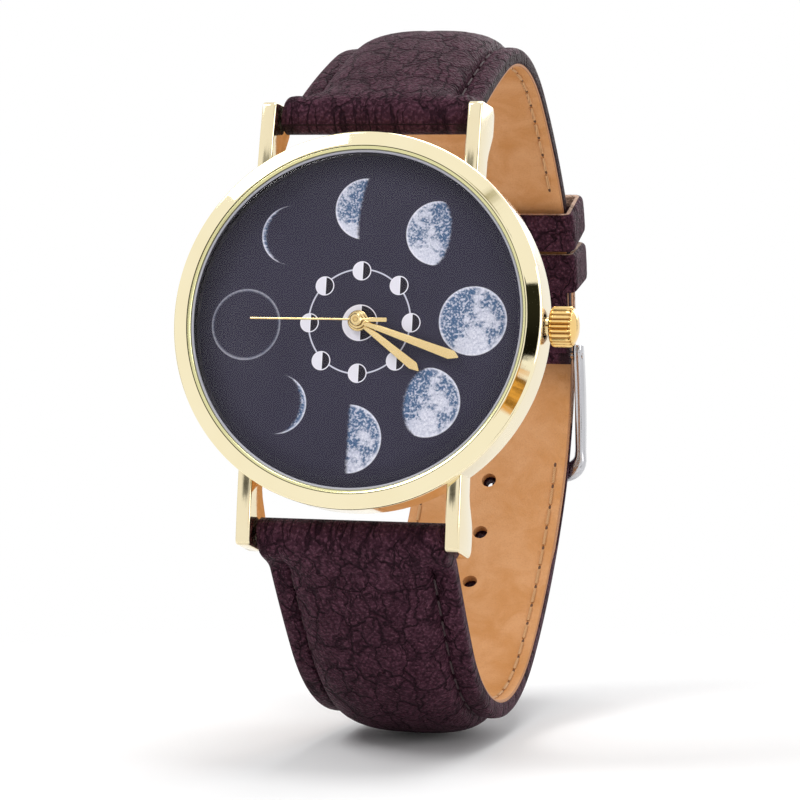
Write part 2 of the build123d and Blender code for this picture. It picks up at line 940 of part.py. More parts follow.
# Main plate, with the recess for the wheels under the dial
recess_radius = minute_wheel_teeth * train_module / 2 + wheel_room
with BuildPart() as main_plate:
    extrude(disc(plate_bottom, centre, plate_radius), amount=plate_top - plate_bottom)
    with BuildSketch(head.offset(plate_bottom)):
        with Locations((block_middle, 0)):
            Rectangle(block_length, block_width)
    extrude(amount=-block_depth)
    extrude(
        disc(battery_bottom + battery_gap * 2, clamp_screw_place, pillar_radius),
        amount=plate_bottom - battery_bottom - battery_gap * 2,
    )
    with BuildSketch(head.offset(motion_recess_height)):
        with Locations(centre, minute_place, setting_place):
            Circle(recess_radius)
        with Locations((setting_reach / 2, 0)):
            Rectangle(setting_reach, recess_radius * 2)
    extrude(amount=plate_top - motion_recess_height, mode=Mode.SUBTRACT)
    extrude(
        disc(plate_bottom, battery_place, battery_bore),
        amount=battery_bottom + battery_thickness + running_gap - plate_bottom,
        mode=Mode.SUBTRACT,
    )
    with BuildSketch(head.offset(plate_bottom)):
        with Locations(*arbor_places):
            Circle(bearing_radius)
    extrude(amount=pivot_depth + running_gap, mode=Mode.SUBTRACT)
    with BuildSketch(head.offset(motion_recess_height - pivot_depth)):
        with Locations(minute_place, setting_place):
            Circle(bearing_radius)
    extrude(amount=pivot_depth, mode=Mode.SUBTRACT)
    extrude(
        disc(plate_bottom, centre, centre_tube_radius + running_gap),
        amount=plate_top - plate_bottom,
        mode=Mode.SUBTRACT,
    )
    with BuildSketch(head.offset(dial_seat_height - dial_foot_length - running_gap)):
        with Locations(*foot_places):
            Circle(dial_foot_radius + running_gap)
    extrude(amount=plate_top, mode=Mode.SUBTRACT)
    with BuildSketch(head.offset(plate_bottom)):
        with Locations(*pillar_places):
            Circle(screw_radius)
    extrude(amount=bridge_bottom + screw_length - plate_bottom, mode=Mode.SUBTRACT)
    extrude(
        disc(battery_bottom, clamp_screw_place, screw_radius),
        amount=screw_length,
        mode=Mode.SUBTRACT,
    )
    with BuildSketch(stem_line.offset(clutch_start - clutch_room)):
        Circle(clutch_radius + tube_run)
    extrude(amount=clutch_length + clutch_room * 2, mode=Mode.SUBTRACT)
    with BuildSketch(stem_line.offset(stem_inner - tube_run)):
        Circle(stem_radius + running_gap)
    extrude(amount=plate_radius, mode=Mode.SUBTRACT)
save(main_plate.part, "main_plate")

# Bridge under the wheels, with three pillars up to the main plate
with BuildPart() as train_bridge:
    extrude(disc(bridge_bottom, centre, bridge_radius), amount=bridge_top - bridge_bottom)
    with BuildSketch(head.offset(bridge_bottom)):
        with Locations(*pillar_places):
            Circle(pillar_radius)
    extrude(amount=plate_bottom - bridge_bottom)
    with BuildSketch(head.offset(bridge_bottom)):
        with Locations(battery_place):
            Circle(battery_bore)
        with Locations((coil_x, coil_y)):
            Rectangle(coil_half * 2 + core_overhang * 2, bridge_coil_cut)
        with Locations(*arbor_places):
            Circle(bearing_radius)
        Circle(second_arbor_radius + bearing_gap)
    extrude(amount=bridge_top - bridge_bottom, mode=Mode.SUBTRACT)
    with BuildSketch(head.offset(bridge_bottom)):
        with Locations(*pillar_places):
            Circle(screw_radius)
    extrude(amount=plate_bottom - bridge_bottom, mode=Mode.SUBTRACT)
save(train_bridge.part, "train_bridge")

# Button cell and the spring strip that holds it
cell_rim = battery_radius * cell_rim_share
with BuildPart() as battery:
    extrude(disc(battery_bottom + cell_step, battery_place, battery_radius), amount=battery_thickness - cell_step)
    extrude(disc(battery_bottom, battery_place, cell_rim), amount=cell_step)
save(battery.part, "battery")
clamp_turn = math.atan2(
    battery_place[1] - clamp_screw_place[1], battery_place[0] - clamp_screw_place[0]
)
with BuildPart() as battery_clamp:
    clamp_plane = Plane(
        origin=head.from_local_coords(
            (clamp_screw_place[0], clamp_screw_place[1], battery_bottom - clamp_thickness)
        ),
        x_dir=head.x_dir * math.cos(clamp_turn) + head.y_dir * math.sin(clamp_turn),
        z_dir=head.z_dir,
    )
    with BuildSketch(clamp_plane):
        with Locations((clamp_reach / 2, 0)):
            Rectangle(clamp_reach, clamp_width)
        Circle(clamp_width / 2)
        Circle(screw_radius, mode=Mode.SUBTRACT)
    extrude(amount=clamp_thickness)
save(battery_clamp.part, "battery_clamp")

# Circuit board with its chip, and the crystal's can
with BuildPart() as circuit_board:
    with BuildSketch(head.offset(board_bottom)):
        with Locations((0, (board_inner + board_outer) / 2)):
            Rectangle(board_half_width * 2, board_outer - board_inner)
    extrude(amount=board_thickness)
    with BuildSketch(head.offset(board_bottom)):
        with Locations(chip_place):
            Rectangle(chip_size, chip_size)
    extrude(amount=-chip_height)
save(circuit_board.part, "circuit_board")
with BuildPart() as quartz_can:
    with BuildSketch(
        Plane(
            origin=head.from_local_coords(
                (can_x - can_length / 2, can_y, board_bottom - can_radius)
            ),
            x_dir=head.y_dir,
            z_dir=head.x_dir,
        )
    ):
        Circle(can_radius)
    extrude(amount=can_length)
save(quartz_can.part, "quartz_can")

# Stepping motor: coil, core, stator and magnet rotor
coil_line = Plane(
    origin=head.from_local_coords((coil_x, coil_y, core_middle)),
    x_dir=head.y_dir,
    z_dir=head.x_dir,
)
with BuildPart() as coil:
    with BuildSketch(coil_line):
        Circle(coil_radius)
        Rectangle(core_width, core_thickness, mode=Mode.SUBTRACT)
    extrude(amount=coil_half, both=True)
save(coil.part, "coil")
core_half = coil_half + core_overhang
with BuildPart() as coil_core:
    with BuildSketch(coil_line):
        Rectangle(core_width, core_thickness)
    extrude(amount=core_half, both=True)
save(coil_core.part, "coil_core")
stator_bottom = core_bottom + core_thickness
with BuildPart() as stator:
    with BuildSketch(head.offset(stator_bottom)):
        for flip in (1, -1):
            with BuildLine():
                foot_x = coil_x + flip * (core_half - core_overhang / 2)
                leg_half = flip * stator_leg / 2
                ring_x = rotor_place[0] + flip * stator_bore
                Polyline(
                    (foot_x - leg_half, coil_y - core_width / 2),
                    (foot_x + leg_half, coil_y - core_width / 2),
                    (foot_x + leg_half, coil_y + core_width / 2),
                    (ring_x, rotor_place[1] + stator_bore),
                    (ring_x, rotor_place[1] - stator_bore),
                    (foot_x - leg_half, coil_y + core_width / 2),
                    close=True,
                )
            make_face()
        with Locations(rotor_place):
            Circle(stator_ring)
            Circle(stator_bore, mode=Mode.SUBTRACT)
    extrude(amount=stator_thickness)
save(stator.part, "stator")
pivot_bottom = bridge_bottom + running_gap
pivot_top = plate_bottom + pivot_depth

# Facings that let the teeth of each pair interleave
half_tooth = 180.0
second_facing = intermediate_angle
intermediate_pinion_facing = intermediate_angle + half_tooth + half_tooth / intermediate_pinion_teeth
rotor_facing = rotor_angle + half_tooth + half_tooth / rotor_pinion_teeth
third_facing = third_angle + half_tooth + half_tooth / third_teeth
third_pinion_facing = third_angle + half_tooth + half_tooth / third_pinion_teeth
minute_facing = half_tooth + half_tooth / minute_wheel_teeth
setting_facing = half_tooth + half_tooth / setting_teeth
hour_facing = half_tooth / hour_teeth
pinion_under = low_wheel_level - pinion_gap
second_level_top = second_wheel_level + wheel_thickness + pinion_gap / 2
with BuildPart() as rotor:
    extrude(
        gear_face(pinion_under, rotor_place, rotor_pinion_teeth, fast_module, rotor_facing),
        amount=wheel_thickness + pinion_gap * 2,
    )
    extrude(
        disc(rotor_magnet_bottom, rotor_place, rotor_magnet_radius),
        amount=rotor_magnet_top - rotor_magnet_bottom,
    )
    extrude(disc(pivot_bottom, rotor_place, arbor_radius), amount=pivot_top - pivot_bottom)
save(rotor.part, "rotor")
with BuildPart() as intermediate_wheel:
    extrude(
        gear_face(low_wheel_level, intermediate_place, intermediate_teeth, fast_module, rotor_angle),
        amount=wheel_thickness,
    )
    extrude(
        gear_face(
            low_wheel_level,
            intermediate_place,
            intermediate_pinion_teeth,
            train_module,
            intermediate_pinion_facing,
        ),
        amount=second_level_top - low_wheel_level,
    )
    extrude(disc(pivot_bottom, intermediate_place, arbor_radius), amount=pivot_top - pivot_bottom)
save(intermediate_wheel.part, "intermediate_wheel")
with BuildPart() as second_wheel:
    extrude(
        gear_face(second_wheel_level, centre, second_teeth, train_module, second_facing),
        amount=wheel_thickness,
    )
    extrude(
        gear_face(pinion_under, centre, second_pinion_teeth, train_module, third_angle),
        amount=second_wheel_level - pinion_under,
    )
    extrude(
        disc(pivot_bottom, centre, second_arbor_radius),
        amount=second_hand_height + second_cap_height - pivot_bottom,
    )
save(second_wheel.part, "second_wheel")
with BuildPart() as third_wheel:
    extrude(
        gear_face(low_wheel_level, third_place, third_teeth, train_module, third_facing),
        amount=wheel_thickness,
    )
    extrude(
        gear_face(
            second_level_top,
            third_place,
            third_pinion_teeth,
            centre_module,
            third_pinion_facing,
        ),
        amount=centre_wheel_level + wheel_thickness - second_level_top,
    )
    extrude(disc(pivot_bottom, third_place, arbor_radius), amount=pivot_top - pivot_bottom)
save(third_wheel.part, "third_wheel")
with BuildPart() as centre_wheel:
    extrude(
        gear_face(centre_wheel_level, centre, centre_teeth, centre_module, third_angle),
        amount=wheel_thickness,
    )
    extrude(
        disc(centre_wheel_level, centre, centre_tube_radius),
        amount=motion_recess_height - centre_wheel_level,
    )
    extrude(
        gear_face(motion_recess_height, centre, cannon_teeth, train_module),
        amount=hour_wheel_level - motion_recess_height,
    )
    extrude(
        disc(hour_wheel_level - pinion_gap / 2, centre, centre_tube_radius),
        amount=minute_hand_height + hand_thickness - hour_wheel_level + pinion_gap / 2,
    )
    extrude(
        disc(centre_wheel_level, centre, centre_tube_bore),
        amount=minute_hand_height,
        mode=Mode.SUBTRACT,
    )
save(centre_wheel.part, "centre_wheel")
motion_pivot = motion_recess_height - pivot_depth + running_gap
with BuildPart() as minute_wheel:
    extrude(
        gear_face(minute_wheel_level, minute_place, minute_wheel_teeth, train_module, minute_facing),
        amount=wheel_thickness,
    )
    extrude(
        gear_face(minute_wheel_level, minute_place, minute_pinion_teeth, train_module, half_tooth),
        amount=hour_wheel_level + wheel_thickness - minute_wheel_level,
    )
    extrude(
        disc(motion_pivot, minute_place, arbor_radius),
        amount=minute_wheel_level - motion_pivot,
    )
save(minute_wheel.part, "minute_wheel")
with BuildPart() as setting_wheel:
    extrude(
        gear_face(minute_wheel_level, setting_place, setting_teeth, train_module, setting_facing),
        amount=wheel_thickness,
    )
    extrude(
        disc(motion_pivot, setting_place, arbor_radius),
        amount=minute_wheel_level - motion_pivot,
    )
save(setting_wheel.part, "setting_wheel")
with BuildPart() as hour_wheel:
    extrude(
        gear_face(hour_wheel_level, centre, hour_teeth, train_module, hour_facing),
        amount=wheel_thickness,
    )
    extrude(
        disc(hour_wheel_level, centre, hour_tube_radius),
        amount=hour_hand_height + hand_thickness - hour_wheel_level,
    )
    extrude(
        disc(hour_wheel_level, centre, hour_tube_bore),
        amount=hour_hand_height,
        mode=Mode.SUBTRACT,
    )
save(hour_wheel.part, "hour_wheel")

# Three screws through the pillars and one through the clamp
with BuildPart() as movement_screws:
    for place, seat in [(place, bridge_bottom) for place in pillar_places] + [
        (clamp_screw_place, battery_bottom - clamp_thickness)
    ]:
        extrude(disc(seat - screw_head_height, place, screw_head_radius), amount=screw_head_height)
        extrude(disc(seat, place, screw_radius), amount=screw_length)
save(movement_screws.part, "movement_screws")

# Spring bars: tube, two sprung plungers each, and a plain cylinder for each spring
bars = [
    ("upper", short_bar),
    ("lower", long_bar),
]
for bar_name, bar_centre in bars:
    with BuildPart() as bar_tube:
        extrude(disc_on_side(bar_centre, bar_tube_radius), amount=bar_tube_half, both=True)
        extrude(
            disc_on_side(bar_centre, plunger_radius + running_gap),
            amount=bar_tube_half,
            both=True,
            mode=Mode.SUBTRACT,
        )
    save(bar_tube.part, bar_name + "_spring_bar")
    for side_name, flip in (("right", 1), ("left", -1)):
        with BuildPart() as plunger:
            with BuildSketch(side.offset(plunger_inner_half * flip)):
                with Locations((bar_centre.X, bar_centre.Y)):
                    Circle(plunger_radius)
            extrude(amount=(plunger_outer_half - plunger_inner_half) * flip)
        save(plunger.part, bar_name + "_" + side_name + "_plunger")
spring_half = plunger_inner_half - plunger_travel - running_gap
with BuildPart() as spring_bar_springs:
    for bar_name, bar_centre in bars:
        extrude(disc_on_side(bar_centre, bar_spring_radius), amount=spring_half, both=True)
save(spring_bar_springs.part, "spring_bar_springs")

# Strap. Every layer is cut to the same taper, so the edges line up.
def cut_across(centre, radius, half):
    extrude(disc_on_side(centre, radius), amount=half, both=True, mode=Mode.SUBTRACT)


def full_width(face):
    extrude(face, amount=case_radius, both=True)


def trim_to_taper():
    extrude(taper_outline(), amount=strap_room, both=True, mode=Mode.INTERSECT)


clasp_centre, clasp_heading, clasp_out = along(
    short_path, short_end, leather_thickness - clasp_roll_radius
)
bar_bore = bar_tube_radius + running_gap
short_lining_end = short_end - clasp_roll_radius - layer_gap
clasp_on_long = meet_length - join_lead * tail_radius / last_bend[1]
slot_place = clasp_on_long - slot_back
hole_places = [slot_place + hole_pitch * step for step in hole_steps]
notch_radius = tongue_eye_radius + tongue_side_gap
notch_half = tongue_width / 2 + tongue_side_gap
tail_half = half_width_at(along(long_path, long_end - tail_round)[0])


def corner_waste():
    with BuildSketch(lying_plane(long_path, long_end - tail_round)) as face:
        with Locations((0, -tail_round)):
            Rectangle(case_radius * 2, tail_round * 2)
        Rectangle((tail_half - tail_round) * 2, tail_round * 6, mode=Mode.SUBTRACT)
        with Locations((tail_half - tail_round, 0), (tail_round - tail_half, 0)):
            Circle(tail_round, mode=Mode.SUBTRACT)
    return face.sketch


def slot_face():
    with BuildSketch(lying_plane(long_path, slot_place)) as face:
        SlotOverall(slot_length, slot_width, rotation=90)
    return face.sketch


def hole_face(place):
    with BuildSketch(lying_plane(long_path, place)) as face:
        Circle(hole_radius)
    return face.sketch


def tail_cuts():
    cut_depth = leather_thickness + lining_thickness
    extrude(corner_waste(), amount=cut_depth, both=True, mode=Mode.SUBTRACT)
    extrude(slot_face(), amount=cut_depth, both=True, mode=Mode.SUBTRACT)


straps = [
    ("upper", short_path, short_bar, short_end, short_lining_end, short_padding_length),
    ("lower", long_path, long_bar, long_end, long_end, long_padding_length),
]
for half_name, path, bar_centre, leather_end, lining_end, padding_length in straps:
    with BuildPart() as padding:
        extrude(
            band(path, roll_radius, padding_length, 0, padding_thickness, padding_ramp),
            amount=padding_half_width,
            both=True,
        )
        cut_across(bar_centre, roll_radius, case_radius)
    save(padding.part, half_name + "_padding")
    crown_height = padding_thickness + leather_thickness
    with BuildPart() as leather:
        full_width(band(path, 0, leather_end, 0, leather_thickness))
        extrude(
            band(path, 0, padding_length + leather_thickness, 0, crown_height, padding_ramp),
            amount=crown_half_width,
            both=True,
        )
        full_width(disc_on_side(bar_centre, roll_radius))
        if half_name == "upper":
            full_width(disc_on_side(clasp_centre, clasp_roll_radius))
            full_width(
                band(
                    path,
                    short_end - fold_length,
                    short_end,
                    -lining_thickness - fold_thickness,
                    -lining_thickness,
                )
            )
            cut_across(clasp_centre, buckle_bar_radius + running_gap, case_radius)
            cut_across(clasp_centre, notch_radius, notch_half)
        cut_across(bar_centre, bar_bore, case_radius)
        trim_to_taper()
        extrude(
            band(path, roll_radius, padding_length, 0, padding_thickness, padding_ramp),
            amount=padding_half_width,
            both=True,
            mode=Mode.SUBTRACT,
        )
        if half_name == "lower":
            tail_cuts()
            for place in hole_places:
                extrude(hole_face(place), amount=crown_height, both=True, mode=Mode.SUBTRACT)
    save(leather.part, half_name + "_leather")
    with BuildPart() as lining:
        full_width(band(path, 0, lining_end, -lining_thickness, 0))
        trim_to_taper()
        cut_across(bar_centre, roll_radius, case_radius)
        if half_name == "upper":
            cut_across(clasp_centre, notch_radius, notch_half)
        else:
            tail_cuts()
            for place in hole_places:
                extrude(hole_face(place), amount=crown_height, both=True, mode=Mode.SUBTRACT)
    save(lining.part, half_name + "_lining")

# Stitches lie along both edges, on the leather and on the lining
stitch_rows = [
    ("upper", short_path, short_stitch_end),
    ("lower", long_path, long_stitch_end),
]
for half_name, path, stitch_end in stitch_rows:
    stitch_count = int((stitch_end - stitch_start) / stitch_pitch)
    with BuildPart() as stitching:
        for index in range(stitch_count):
            first = stitch_start + index * stitch_pitch
            reach = half_width_at(along(path, first)[0]) - stitch_inset
            for low, high in (
                (leather_thickness, leather_thickness + stitch_height),
                (-lining_thickness - stitch_height, -lining_thickness),
            ):
                for flip in (reach, -reach):
                    extrude(
                        band(path, first, first + stitch_length, low, high, 0, side.offset(flip)),
                        amount=stitch_width / 2,
                        both=True,
                    )
    save(stitching.part, half_name + "_stitching")


# Keepers are leather loops round both halves of the strap
def keeper_ring(place):
    low = -lining_thickness - fold_thickness - keeper_gap
    high = layer_rise + leather_thickness + keeper_gap
    half = half_width_at(along(short_path, place)[0]) + keeper_gap
    with BuildSketch(cross_plane(short_path, place).offset(-keeper_width / 2)) as face:
        with Locations(((low + high) / 2, 0)):
            RectangleRounded(
                high - low + keeper_thickness * 2, (half + keeper_thickness) * 2, keeper_round
            )
            Rectangle(high - low, half * 2, mode=Mode.SUBTRACT)
    return face.sketch


sliding_keeper_place = fixed_keeper_place - keeper_width - keeper_spacing
with BuildPart() as fixed_keeper:
    extrude(keeper_ring(fixed_keeper_place), amount=keeper_width)
save(fixed_keeper.part, "fixed_keeper")
with BuildPart() as sliding_keeper:
    extrude(keeper_ring(sliding_keeper_place), amount=keeper_width)
save(sliding_keeper.part, "sliding_keeper")

# Buckle. The clasp plane holds (along the strap from the bar, outwards).
clasp_side = Plane(
    origin=to_world(clasp_centre), x_dir=turn_to_world(clasp_heading), z_dir=head.x_dir
)
far_bar_inner = buckle_reach - far_bar_depth / 2
far_bar_outer = buckle_reach + far_bar_depth / 2
under_bar = along(long_path, clasp_on_long - far_bar_inner, leather_thickness)[0]
far_bar_low = (under_bar - clasp_centre).dot(clasp_out) + far_bar_lift
far_bar_high = far_bar_low + far_bar_height
arm_inner = half_width_at(clasp_centre) + buckle_side_gap
arm_outer = arm_inner + buckle_arm
with BuildPart() as buckle_frame:
    for flip in (arm_inner, -arm_outer):
        with BuildSketch(clasp_side.offset(flip)):
            with BuildLine():
                ThreePointArc(
                    (-buckle_heel, buckle_root_half),
                    (buckle_reach / 2, buckle_bow_high),
                    (far_bar_outer, far_bar_high),
                )
                Line((far_bar_outer, far_bar_high), (far_bar_outer, far_bar_low))
                ThreePointArc(
                    (far_bar_outer, far_bar_low),
                    (buckle_reach / 2, buckle_bow_low),
                    (-buckle_heel, -buckle_root_half),
                )
                ThreePointArc(
                    (-buckle_heel, -buckle_root_half),
                    (-buckle_heel - buckle_root_half / 2, 0),
                    (-buckle_heel, buckle_root_half),
                )
            make_face()
        extrude(amount=buckle_arm)
    with BuildSketch(clasp_side.offset(-arm_outer)):
        with Locations((buckle_reach, (far_bar_low + far_bar_high) / 2)):
            RectangleRounded(far_bar_depth, far_bar_height, buckle_round)
    extrude(amount=arm_outer * 2)
    extrude(
        disc_on_side(clasp_centre, buckle_bar_radius),
        amount=arm_outer,
        both=True,
        mode=Mode.SUBTRACT,
    )
save(buckle_frame.part, "buckle_frame")
with BuildPart() as buckle_bar:
    extrude(disc_on_side(clasp_centre, buckle_bar_radius), amount=arm_outer, both=True)
save(buckle_bar.part, "buckle_bar")
tongue_rest = far_bar_high + tongue_rest_gap + tongue_thickness / 2
tongue_end = far_bar_outer + tongue_overhang
half_thick = tongue_thickness / 2
with BuildPart() as buckle_tongue:
    with BuildSketch(clasp_side):
        Polygon(
            (0, half_thick),
            (tongue_low_run, half_thick),
            (tongue_rise_end, tongue_rest + half_thick),
            (tongue_end, tongue_rest + half_thick),
            (tongue_end, tongue_rest - half_thick),
            (tongue_rise_end, tongue_rest - half_thick),
            (tongue_low_run, -half_thick),
            (0, -half_thick),
            align=None,
        )
        Circle(tongue_eye_radius)
        Circle(buckle_bar_radius + running_gap, mode=Mode.SUBTRACT)
    extrude(amount=tongue_width / 2, both=True)
save(buckle_tongue.part, "buckle_tongue")
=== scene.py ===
import math
import bpy
from mathutils import Matrix, Vector, noise


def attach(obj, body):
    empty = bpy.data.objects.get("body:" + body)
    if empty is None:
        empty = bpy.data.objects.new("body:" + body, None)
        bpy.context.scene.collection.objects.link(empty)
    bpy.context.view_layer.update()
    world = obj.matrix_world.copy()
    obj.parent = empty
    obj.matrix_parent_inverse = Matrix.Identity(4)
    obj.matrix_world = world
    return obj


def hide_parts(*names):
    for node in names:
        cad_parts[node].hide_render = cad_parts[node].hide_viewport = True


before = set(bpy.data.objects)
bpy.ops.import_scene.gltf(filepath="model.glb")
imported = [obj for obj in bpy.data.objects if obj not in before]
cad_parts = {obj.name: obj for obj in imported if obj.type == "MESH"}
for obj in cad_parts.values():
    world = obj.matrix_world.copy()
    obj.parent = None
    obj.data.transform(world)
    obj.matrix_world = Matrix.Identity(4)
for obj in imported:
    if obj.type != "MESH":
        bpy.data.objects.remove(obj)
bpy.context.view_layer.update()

# A quartz wristwatch buckled on its strap. Sizes are in millimetres up to the moment a piece
# is seated in the frame, which is in metres.
MM = 0.001
PER_METRE = 1000.0

# Head of the watch: x towards the crown, y towards twelve, h out of the dial
DIAL_TILT = math.radians(10.0)
HEAD_PLACE = Vector((-1.55, -23.284255, 43.949772))
HEAD_TURN = Matrix.Rotation(math.radians(90) - DIAL_TILT, 4, "X")
HEAD = Matrix.Scale(MM, 4) @ Matrix.Translation(HEAD_PLACE) @ HEAD_TURN
HEAD_BACKWARDS = HEAD.inverted()
HEAD_UNTURN = (DIAL_TILT - math.radians(90), 0, 0)
# A plate drawn in the side view stands with its x towards twelve and its y out of the dial
SIDE_TURN = Matrix(((0, 0, 1, 0), (1, 0, 0, 0), (0, 1, 0, 0), (0, 0, 0, 1)))
STEM_HEIGHT = 3.2
DOUBLES = 0.0005


# Modelling: outlines are drawn by extruding one vertex, then filled, pushed out or spun
def deselect():
    bpy.ops.object.select_all(action="DESELECT")


def mode(kind):
    bpy.ops.object.mode_set(mode=kind)


def select_mesh(action):
    bpy.ops.mesh.select_all(action=action)


def pick(piece):
    deselect()
    piece.select_set(True)
    bpy.context.view_layer.objects.active = piece


def start_piece(name):
    deselect()
    bpy.ops.mesh.primitive_plane_add(size=1)
    piece = bpy.context.object
    piece.name = name
    mode("EDIT")
    bpy.ops.mesh.select_mode(type="VERT")
    select_mesh("SELECT")
    bpy.ops.mesh.merge(type="CENTER")
    return piece


def draw(points):
    points = [Vector(point) for point in points]
    bpy.ops.transform.translate(value=points[0])
    for before, after in zip(points, points[1:]):
        bpy.ops.mesh.extrude_region_move(TRANSFORM_OT_translate={"value": after - before})
    select_mesh("SELECT")


def close_shell():
    select_mesh("SELECT")
    bpy.ops.mesh.remove_doubles(threshold=DOUBLES)
    bpy.ops.mesh.normals_make_consistent(inside=False)
    mode("OBJECT")


def apply_all(piece):
    pick(piece)
    for modifier in list(piece.modifiers):
        bpy.ops.object.modifier_apply(modifier=modifier.name)


def soften(piece, width, segments, angle=30.0):
    bevel = piece.modifiers.new("edges", "BEVEL")
    bevel.width = width
    bevel.segments = segments
    bevel.limit_method = "ANGLE"
    bevel.angle_limit = math.radians(angle)
    apply_all(piece)


# Seats a piece in the frame, shades it smooth up to an angle, gives it its material, hangs it under its body
# and hides the parts it stands for
def settle(piece, matrix, smooth, material, body, slot, *stands_for):
    pick(piece)
    piece.matrix_world = matrix
    bpy.ops.object.transform_apply(location=True, rotation=True, scale=True)
    if matrix.determinant() < 0:
        piece.data.flip_normals()
    bpy.ops.object.shade_smooth_by_angle(angle=math.radians(smooth))
    piece.data.materials.clear()
    piece.data.materials.append(material)
    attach(piece, body)
    if stands_for:
        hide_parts(*stands_for)


# A turned piece: the outline (radius, height) runs round the head's own axis
def turned(name, outline, closed=True, steps=192):
    piece = start_piece(name)
    points = [(radius, 0, height) for radius, height in outline]
    draw(points + points[:1] if closed else points)
    bpy.ops.mesh.spin(steps=steps, angle=math.tau, center=(0, 0, 0), axis=(0, 0, 1))
    close_shell()
    return piece


# A flat plate: the outline is filled and pushed out along z
def plate(name, outline, low, high):
    piece = start_piece(name)
    draw([(x, y, low) for x, y in outline])
    bpy.ops.mesh.edge_face_add()
    bpy.ops.mesh.extrude_region_move(TRANSFORM_OT_translate={"value": (0, 0, high - low)})
    close_shell()
    return piece


def cylinder(vertices, radius, depth, rotation=(0, 0, 0)):
    deselect()
    bpy.ops.mesh.primitive_cylinder_add(vertices=vertices, radius=radius, depth=depth, rotation=rotation)
    return bpy.context.object


def arc(centre, radius, first, last, count):
    angles = [math.radians(first + (last - first) * step / count) for step in range(count + 1)]
    return [(centre[0] + radius * math.cos(angle), centre[1] + radius * math.sin(angle)) for angle in angles]


def copied(piece, name):
    twin = piece.copy()
    twin.data = piece.data.copy()
    twin.name = name
    bpy.context.scene.collection.objects.link(twin)
    return twin


def joined(pieces, name):
    deselect()
    for piece in pieces:
        piece.select_set(True)
    bpy.context.view_layer.objects.active = pieces[0]
    bpy.ops.object.join()
    pieces[0].name = name
    return pieces[0]


# A skin made from a grid: place(across, along) gives each point, with both shares from 0 to 1.
# It closes round its section, and along its length too where it is a loop.
def skin(name, across, lengthways, place, lie=None, loop=False):
    deselect()
    bpy.ops.mesh.primitive_grid_add(x_subdivisions=across, y_subdivisions=lengthways, size=1)
    piece = bpy.context.object
    piece.name = name
    if lie:
        piece.data.attributes.new("lie", "FLOAT_VECTOR", "POINT")
    for vertex in piece.data.vertices:
        u = round((vertex.co.x + 0.5) * across) / across % 1
        v = round((vertex.co.y + 0.5) * lengthways) / lengthways
        v = v % 1 if loop else v
        vertex.co = place(u, v)
        if lie:
            piece.data.attributes["lie"].data[vertex.index].vector = lie(u, v)
    mode("EDIT")
    select_mesh("SELECT")
    bpy.ops.mesh.remove_doubles(threshold=DOUBLES)
    if not loop:
        bpy.ops.mesh.select_mode(type="EDGE")
        select_mesh("DESELECT")
        bpy.ops.mesh.select_non_manifold(extend=False)
        bpy.ops.mesh.edge_face_add()
        bpy.ops.mesh.select_mode(type="VERT")
    close_shell()
    return piece


# Shader building: a graph adds nodes to one tree, and most of its methods give a socket
class Graph:
    def __init__(self, tree):
        self.tree = tree

    def feed(self, made, inputs):
        for key, value in inputs.items():
            if isinstance(value, bpy.types.NodeSocket):
                self.tree.links.new(value, made.inputs[key])
            else:
                made.inputs[key].default_value = value

    def node(self, kind, inputs=None, **settings):
        made = self.tree.nodes.new("ShaderNode" + kind)
        for name, value in settings.items():
            setattr(made, name, value)
        self.feed(made, inputs or {})
        return made.outputs

    def maths(self, operation, first, second=0.0, third=0.0):
        return self.node("Math", {0: first, 1: second, 2: third}, operation=operation)[0]

    def plus(self, first, second):
        return self.maths("ADD", first, second)

    def minus(self, first, second):
        return self.maths("SUBTRACT", first, second)

    def times(self, first, second):
        return self.maths("MULTIPLY", first, second)

    def times_plus(self, first, factor, extra):
        return self.maths("MULTIPLY_ADD", first, factor, extra)

    def larger(self, first, second):
        return self.maths("MAXIMUM", first, second)

    def apart(self, first, second):
        return self.maths("ABSOLUTE", self.minus(first, second))

    def ramp(self, value, low, high, bottom=0.0, top=1.0):
        inputs = {0: value, 1: low, 2: high, 3: bottom, 4: top}
        return self.node("MapRange", inputs, interpolation_type="SMOOTHSTEP")[0]

    # Colours are sockets or three numbers
    def mix(self, share, first, second):
        first, second = ((*side, 1) if isinstance(side, tuple) else side for side in (first, second))
        return self.node("Mix", {0: share, 6: first, 7: second}, data_type="RGBA", clamp_factor=True)[2]

    def vectors(self, operation, *inputs):
        return self.node("VectorMath", dict(enumerate(inputs)), operation=operation)[0]

    def scaled(self, vector, factor):
        return self.node("VectorMath", {0: vector, "Scale": factor}, operation="SCALE")[0]

    def length(self, vector):
        return self.node("VectorMath", {0: vector}, operation="LENGTH")["Value"]

    def split(self, vector):
        return self.node("SeparateXYZ", {0: vector})

    def combine(self, x, y):
        return self.node("CombineXYZ", {0: x, 1: y})[0]

    def flat(self, vector):
        parts = self.split(vector)
        return self.combine(parts[0], parts[1])

    def mapped(self, vector, **settings):
        inputs = {name.capitalize(): value for name, value in settings.items()}
        return self.node("Mapping", {"Vector": vector, **inputs})[0]

    def clouds(self, point, scale, detail=3.0, roughness=0.55, warp=0.0):
        inputs = {"Vector": point, "Scale": scale, "Detail": detail, "Roughness": roughness}
        return self.node("TexNoise", {**inputs, "Distortion": warp})["Fac"]

    def cells(self, point, scale, feature):
        return self.node("TexVoronoi", {"Vector": point, "Scale": scale}, feature=feature)["Distance"]

    def bump(self, height, strength, distance):
        return self.node("Bump", {"Height": height, "Strength": strength, "Distance": distance})[0]


